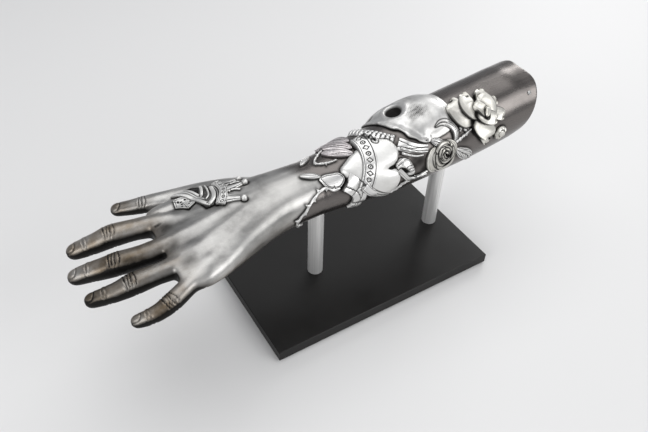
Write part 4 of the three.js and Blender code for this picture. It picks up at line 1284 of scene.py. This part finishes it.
class HandRelief(Relief):
    """The same on the back of the hand, laid out in plan and lifted straight up from the skin."""

    STEP = 1.0
    LOW, HIGH = np.array([-206.0, -22.0]), np.array([-112.0, 62.0])

    def __init__(self, ground):
        super().__init__(SEAM)
        self.ground = ground

    def flat(self, points):
        return np.asarray(points, float)

    def place(self, spots, lift):
        at = np.clip((spots - self.LOW) / self.STEP, 0, np.array(self.ground.shape) - 1.001)
        i, j = np.floor(at).astype(int).T
        f, g = (at - np.floor(at)).T
        near, far = (self.ground[i, k] * (1 - f) + self.ground[i + 1, k] * f for k in (j, j + 1))
        return np.column_stack([spots, near * (1 - g) + far * g + lift])


OVERHEAD = 0.4  # metres, above the whole object


def hand_ground():
    """Height of the back of the hand on a grid, softened, with what lies off the hand carried on."""
    tree = tree_of(skin)
    xs = np.arange(HandRelief.LOW[0], HandRelief.HIGH[0] + 1, HandRelief.STEP)
    ys = np.arange(HandRelief.LOW[1], HandRelief.HIGH[1] + 1, HandRelief.STEP)
    grid = np.full((len(xs), len(ys)), np.nan)
    for i, x in enumerate(xs):
        for j, y in enumerate(ys):
            hit = tree.ray_cast(Vector((x * MM, y * MM, OVERHEAD)), Vector((0, 0, -1)))[0]
            if hit is not None and hit.z / MM > WRIST_HEIGHT:
                grid[i, j] = hit.z / MM
    for i in range(len(xs)):
        known = np.where(~np.isnan(grid[i]))[0]
        grid[i] = np.interp(np.arange(len(ys)), known, grid[i, known])
    for _ in range(3):
        padded = np.pad(grid, 1, mode="edge")
        grid = (grid + padded[:-2, 1:-1] + padded[2:, 1:-1] + padded[1:-1, :-2] + padded[1:-1, 2:]) / 5
    return grid


def dice(ground):
    r = HandRelief(ground)
    outline = [(-195, 38), (-197, 26), (-188, 13.5), (-178.5, 20), (-180, 30), (-187, 37.5)]
    corner = np.array([-187.5, 26.0])  # where the three faces meet
    spokes = [np.array(p) for p in ((-195.5, 37), (-188, 14.5), (-180, 29.5))]
    pips = [(-191.5, 22), (-189.5, 30.5), (-185, 31.5), (-190, 26.5), (-184.5, 21.5), (-182, 25), (-192, 32)]

    def height(spots, share, edge):
        seam = np.min([line_distance(spots, corner, p) for p in spokes], axis=0)
        pip = np.min([distance(spots, p) for p in pips], axis=0)
        lift = 3.4 - 0.9 * share + 0.4 * bump(seam, 0.8) - 0.6 * smooth(1.45, 0.9, pip)
        ink = smooth(1.5, 1.1, pip) + 0.8 * bump(edge - 1.3, 0.4) + 0.75 * bump(seam - 0.95, 0.35)
        return lift - 0.35 * bump(edge - 1.3, 0.4), ink

    r.plaque(corner, outline, height, 60, 200, pointed=True)
    r.make("die", "dice", HEART, 0.6)


def chevron(ground):
    r = HandRelief(ground)
    outline = [
        (-194, 48), (-188, 53), (-180, 51), (-175, 41), (-170.5, 30), (-167, 40), (-164, 46), (-158, 44),
        (-153, 36), (-157, 16), (-165, 4), (-173, 3.5), (-177, 25), (-184, 38),
    ]

    def height(spots, share, edge):
        return 1.7 + 0.5 * np.sin(spots @ (1.1, 0.9)) ** 2, 0.72

    r.plaque((-168, 17), outline, height, 60, 240, pointed=True)
    bands = [
        (2.1, [(-193, 48.5), (-184, 39.5), (-177.5, 27), (-173, 12), (-168.5, 4.5)]),
        (2.1, [(-169.5, 5.5), (-162.5, 11), (-157.5, 22), (-155, 35)]),
        (0.9, [(-188, 50.5), (-179.5, 40), (-174.5, 28), (-169, 14.5)]),
        (0.9, [(-169, 14.5), (-163.5, 21), (-160.5, 31), (-159, 42)]),
        (1.5, [(-181, 51), (-175.5, 40), (-171.5, 29), (-169.5, 24)]),
        (1.5, [(-170, 25), (-167, 31), (-164.5, 38), (-163, 45)]),
    ]
    for half, path in bands:
        r.strip(path, half, lambda s, w: (3.7 - 0.7 * w**2, 0.5 * bump(abs(w) - 1, 0.15)), 70, 13)
    r.make("chevron", "chevron_outer", HEART, 0.5)
    r = HandRelief(ground)
    notch = [(-178, 52), (-170.4, 31), (-167.2, 38), (-164.5, 47), (-171, 51)]

    def infill(spots, share, edge):
        return 1.5 - 0.3 * bump(edge - 1.2, 0.4), 0.9 + 0.1 * bump(edge - 1.2, 0.5)

    r.plaque((-171, 43), notch, infill, 30, 120, pointed=True)
    r.make("chevron_infill", "chevron_inner", ORNAMENT)


def crown(ground):
    r = HandRelief(ground)
    lens = [(-152, 37), (-153, 26), (-158, 11), (-163.5, 3), (-160, 1), (-154, 9), (-150, 20), (-149, 32)]

    def dark_lens(spots, share, edge):
        return 2.2 - 0.6 * smooth(0.5, 2.5, edge), 0.3 + 0.6 * smooth(0.3, 1.6, edge)

    r.plaque((-154, 18), lens, dark_lens, 30, 140)
    r.make("crown_cushion", "crown_rim", ORNAMENT)
    r = HandRelief(ground)

    def band(s, w):
        cut = tile_pattern(s, w / 0.7, 7) * smooth(0.72, 0.62, abs(w))
        edge_line = bump(abs(w) - 0.76, 0.05)
        return 3.6 - 0.6 * cut - 0.4 * edge_line, 1.3 * cut + 1.2 * edge_line

    r.strip([(-148, 42), (-146, 34), (-147, 23), (-151, 12), (-156, 3), (-160, -1)], 4.2, band, 160, 41)
    r.make("crown_band_relief", "crown_band", HEART, 0.5)
    r = HandRelief(ground)

    def spike(s, w):
        return 1.2 + 1.6 * (1 - abs(w) ** 1.5) + 0.5 * bump(abs(w) - 0.9, 0.15), 0.7 * bump(abs(w) - 0.55, 0.14)

    def ball(spots, share, edge):
        return 0.9 + 4.2 * math.sqrt(1 - share**2), 0

    def wire(s, w):
        return 1.3 + 0.9 * (1 - w**2), 0.6 * bump(abs(w) - 1, 0.2)

    turn = np.linspace(0, 2 * math.pi, 36, endpoint=False)
    for base, tip in (
        ((-143.5, 34), (-124.5, 34)), ((-144.5, 18.5), (-125, 17)), ((-151, 4), (-137, -6)),
    ):
        base, tip = np.array(base), np.array(tip)
        path = [base, base * 0.6 + tip * 0.4, base * 0.3 + tip * 0.7, tip]
        r.strip(path, lambda s: 5.2 * (1 - s) ** 0.8 + 0.9, spike, 90, 21)
        r.plaque(tip, tip + 3.1 * np.stack([np.cos(turn), np.sin(turn)], 1), ball, 20, 48)
    for (x, y), (u, v) in (((-141, 33), (-131, 27)), ((-142, 14), (-134, 9)), ((-137, 28), (-128, 24))):
        r.strip([(x, y), ((x + u) / 2, (y + v) / 2 + 1), (u, v)], 1.3, wire, 40, 9)
    r.make("crown_spikes", "crown_points", HEART)


def trim_screw(name, node):
    """A small domed screw with a hexagonal socket."""
    low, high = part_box(node)
    middle = (low + high) / 2 / MM
    at = (middle.x, float(angle_of(np.array([middle]))[0]))
    r = Relief(middle.x)
    centre = r.flat([at])[0]

    def height(spots, share, edge):
        off = spots - centre
        turn = np.arctan2(off[:, 1], off[:, 0])
        hexagon = np.hypot(*off.T) * np.cos((turn + math.pi / 6) % (math.pi / 3) - math.pi / 6)
        # painted shade in the sunk hex socket
        socket = smooth(1.05, 0.85, hexagon)
        return 0.5 + 1.4 * np.sqrt(np.clip(1 - share**2.5, 0, 1)) - 1.3 * socket, 0.9 * socket

    r.plaque(at, oval(r, at, 2.3, 2.3), height, 30, 72)
    r.make(name, node, FASTENER, slot="fastener")


RECESSES = [  # painted shade in the deep gaps between the ornaments: x, angle, reach
    (50, 64, 9), (54, 72, 9), (47, 76, 7), (66, 50, 6), (108, 58, 8), (114, 66, 8), (111, 48, 7), (60, 88, 6),
    (-20, 100, 8), (20, 100, 7), (36, 36, 6), (-40, -30, 6),
]


def skin_contact():
    """Painted contact shadow and patina on the skin close round each relief's foot, and painted shade in the
    deep gaps.
    """
    points = points_of(skin)
    near = points[:, 0] > CONTACT_END
    contact = np.zeros(len(points))
    contact[near] = CONTACT_SHADE * near_share(points[near], np.concatenate(OUTLINES), CONTACT_REACH)
    spots = spread_out(points)
    # painted shade in the deep gaps between the ornaments
    for x, angle, reach in RECESSES:
        gap = distance(spots, (x, math.radians(angle) * SPREAD_RADIUS))
        contact = np.maximum(contact, 0.8 * bump(gap, reach))
    return contact


LEAVES = [  # piece, node, path, half width, height, veins, cup
    (
        "crescent", "crescent_leaf", [(79, 35), (88, 33), (97, 38), (102, 50), (101, 62), (96, 70)],
        4.6, 3.2, 0, 0.8,
    ),
    ("leaf_side", "side_leaf", [(100, 78), (108, 88), (117, 98), (125, 116)], 8.2, 2.8, 5, 0),
    ("leaf_over_rose", "small_rose_leaf", [(71, 49), (78, 56), (88, 68)], 5.4, 3.0, 3, 0),
    ("leaf_bud", "bud_leaf", [(-75, 12), (-66, 19), (-55, 28)], 3.4, 2.2, 0, 0),
    ("leaf_small", "small_leaf", [(-66, -12), (-58, -20), (-49, -31)], 3.0, 2.2, 0, 0),
]
VINES = [  # piece, node, path, width, height, thorns, steps
    (
        "vine", "thorn_vine",
        [
            (-41, 60), (-48, 60), (-55, 51), (-60, 51), (-68, 57), (-77, 68), (-83, 79), (-90, 88), (-94, 101),
            (-91, 122), (-81, 140),
        ],
        3.0, 2.2,
        [
            (0.08, 1, 3), (0.17, -1, 3), (0.27, 1, 3.4), (0.38, -1, 3.2), (0.47, 1, 4), (0.56, -1, 3),
            (0.68, 1, 3), (0.8, -1, 3),
        ],
        320,
    ),
    (
        "vine_loop", "thorn_loop",
        [(-33, -30), (-42, -20), (-50, -9), (-52, -1), (-47, 5), (-38, 10), (-31, 11)],
        2.6, 2.0, [(0.2, 1, 2.6), (0.5, -1, 3), (0.75, 1, 2.6)], 200,
    ),
    (
        "stem_lower", "rose_stem", [(14, 113), (24, 109), (34, 99), (44, 97), (54, 98), (63, 99)],
        3.6, 2.4, [(0.35, 1, 2.4), (0.7, -1, 2.4)], 160,
    ),
    (
        "stem_joining", "joining_stem", [(90, 72), (100, 68), (111, 64), (122, 59)],
        3.4, 2.8, [(0.5, 1, 2.2)], 100,
    ),
]

# What is made later lies over what was made before it.
for make in (
    skull, teeth, heart, banner, banner_folds, tail_plate, curl, petals, scroll, cheek_ribbon, foliage, bud,
):
    make()
for row in LEAVES:
    leaf(*row)
for row in VINES:
    vine(*row)
large_rose()
small_rose()
_ground = hand_ground()
dice(_ground)
chevron(_ground)
crown(_ground)
trim_screw("trim_screw_near", "near_trim_screw")
trim_screw("trim_screw_far", "far_trim_screw")
darken_overlaps()
tint_skin(skin, np.maximum(_ink, skin_contact()))

# ---- Floor, backdrop and light ----------------------------------------------------------------------


FLOOR_REACH = 6000


def pale_floor():
    s = Shader("floor", roughness=0.55, color=(0.66, 0.657, 0.652))
    corners = [(FLOOR_REACH * u, FLOOR_REACH * v, 0) for u, v in ((-1, -1), (1, -1), (1, 1), (-1, 1))]
    floor = make_mesh("floor", corners, [(0, 1, 2, 3)])
    paint(floor, s.material)


def softbox(name, at, aim, size, power):
    light = bpy.data.lights.new(name, "AREA")
    light.shape = "RECTANGLE"
    light.size, light.size_y = size
    light.energy = power
    holder = bpy.data.objects.new(name, light)
    holder.location = at
    holder.rotation_euler = (Vector(aim) - Vector(at)).to_track_quat("-Z", "Y").to_euler()
    bpy.context.scene.collection.objects.link(holder)


def studio():
    world = bpy.data.worlds.new("studio")
    bpy.context.scene.world = world
    world.use_nodes = True
    world.node_tree.nodes["Background"].inputs["Color"].default_value = (0.93, 0.95, 1.0, 1)
    world.node_tree.nodes["Background"].inputs["Strength"].default_value = 0.38
    bpy.context.scene.view_settings.view_transform = "Standard"
    softbox("overhead", (0.0, 0.4, 2.1), (0, 0, 0), (2.6, 2.2), 30)
    softbox("window", (1.6, 0.9, 1.05), (0.1, 0, 0.15), (0.8, 0.9), 11)
    softbox("front", (1.2, -1.7, 1.2), (0, 0, 0.15), (1.7, 1.3), 24)
    softbox("side", (-1.7, -0.6, 0.9), (-0.1, 0, 0.15), (1.0, 0.9), 11)


pale_floor()
studio()
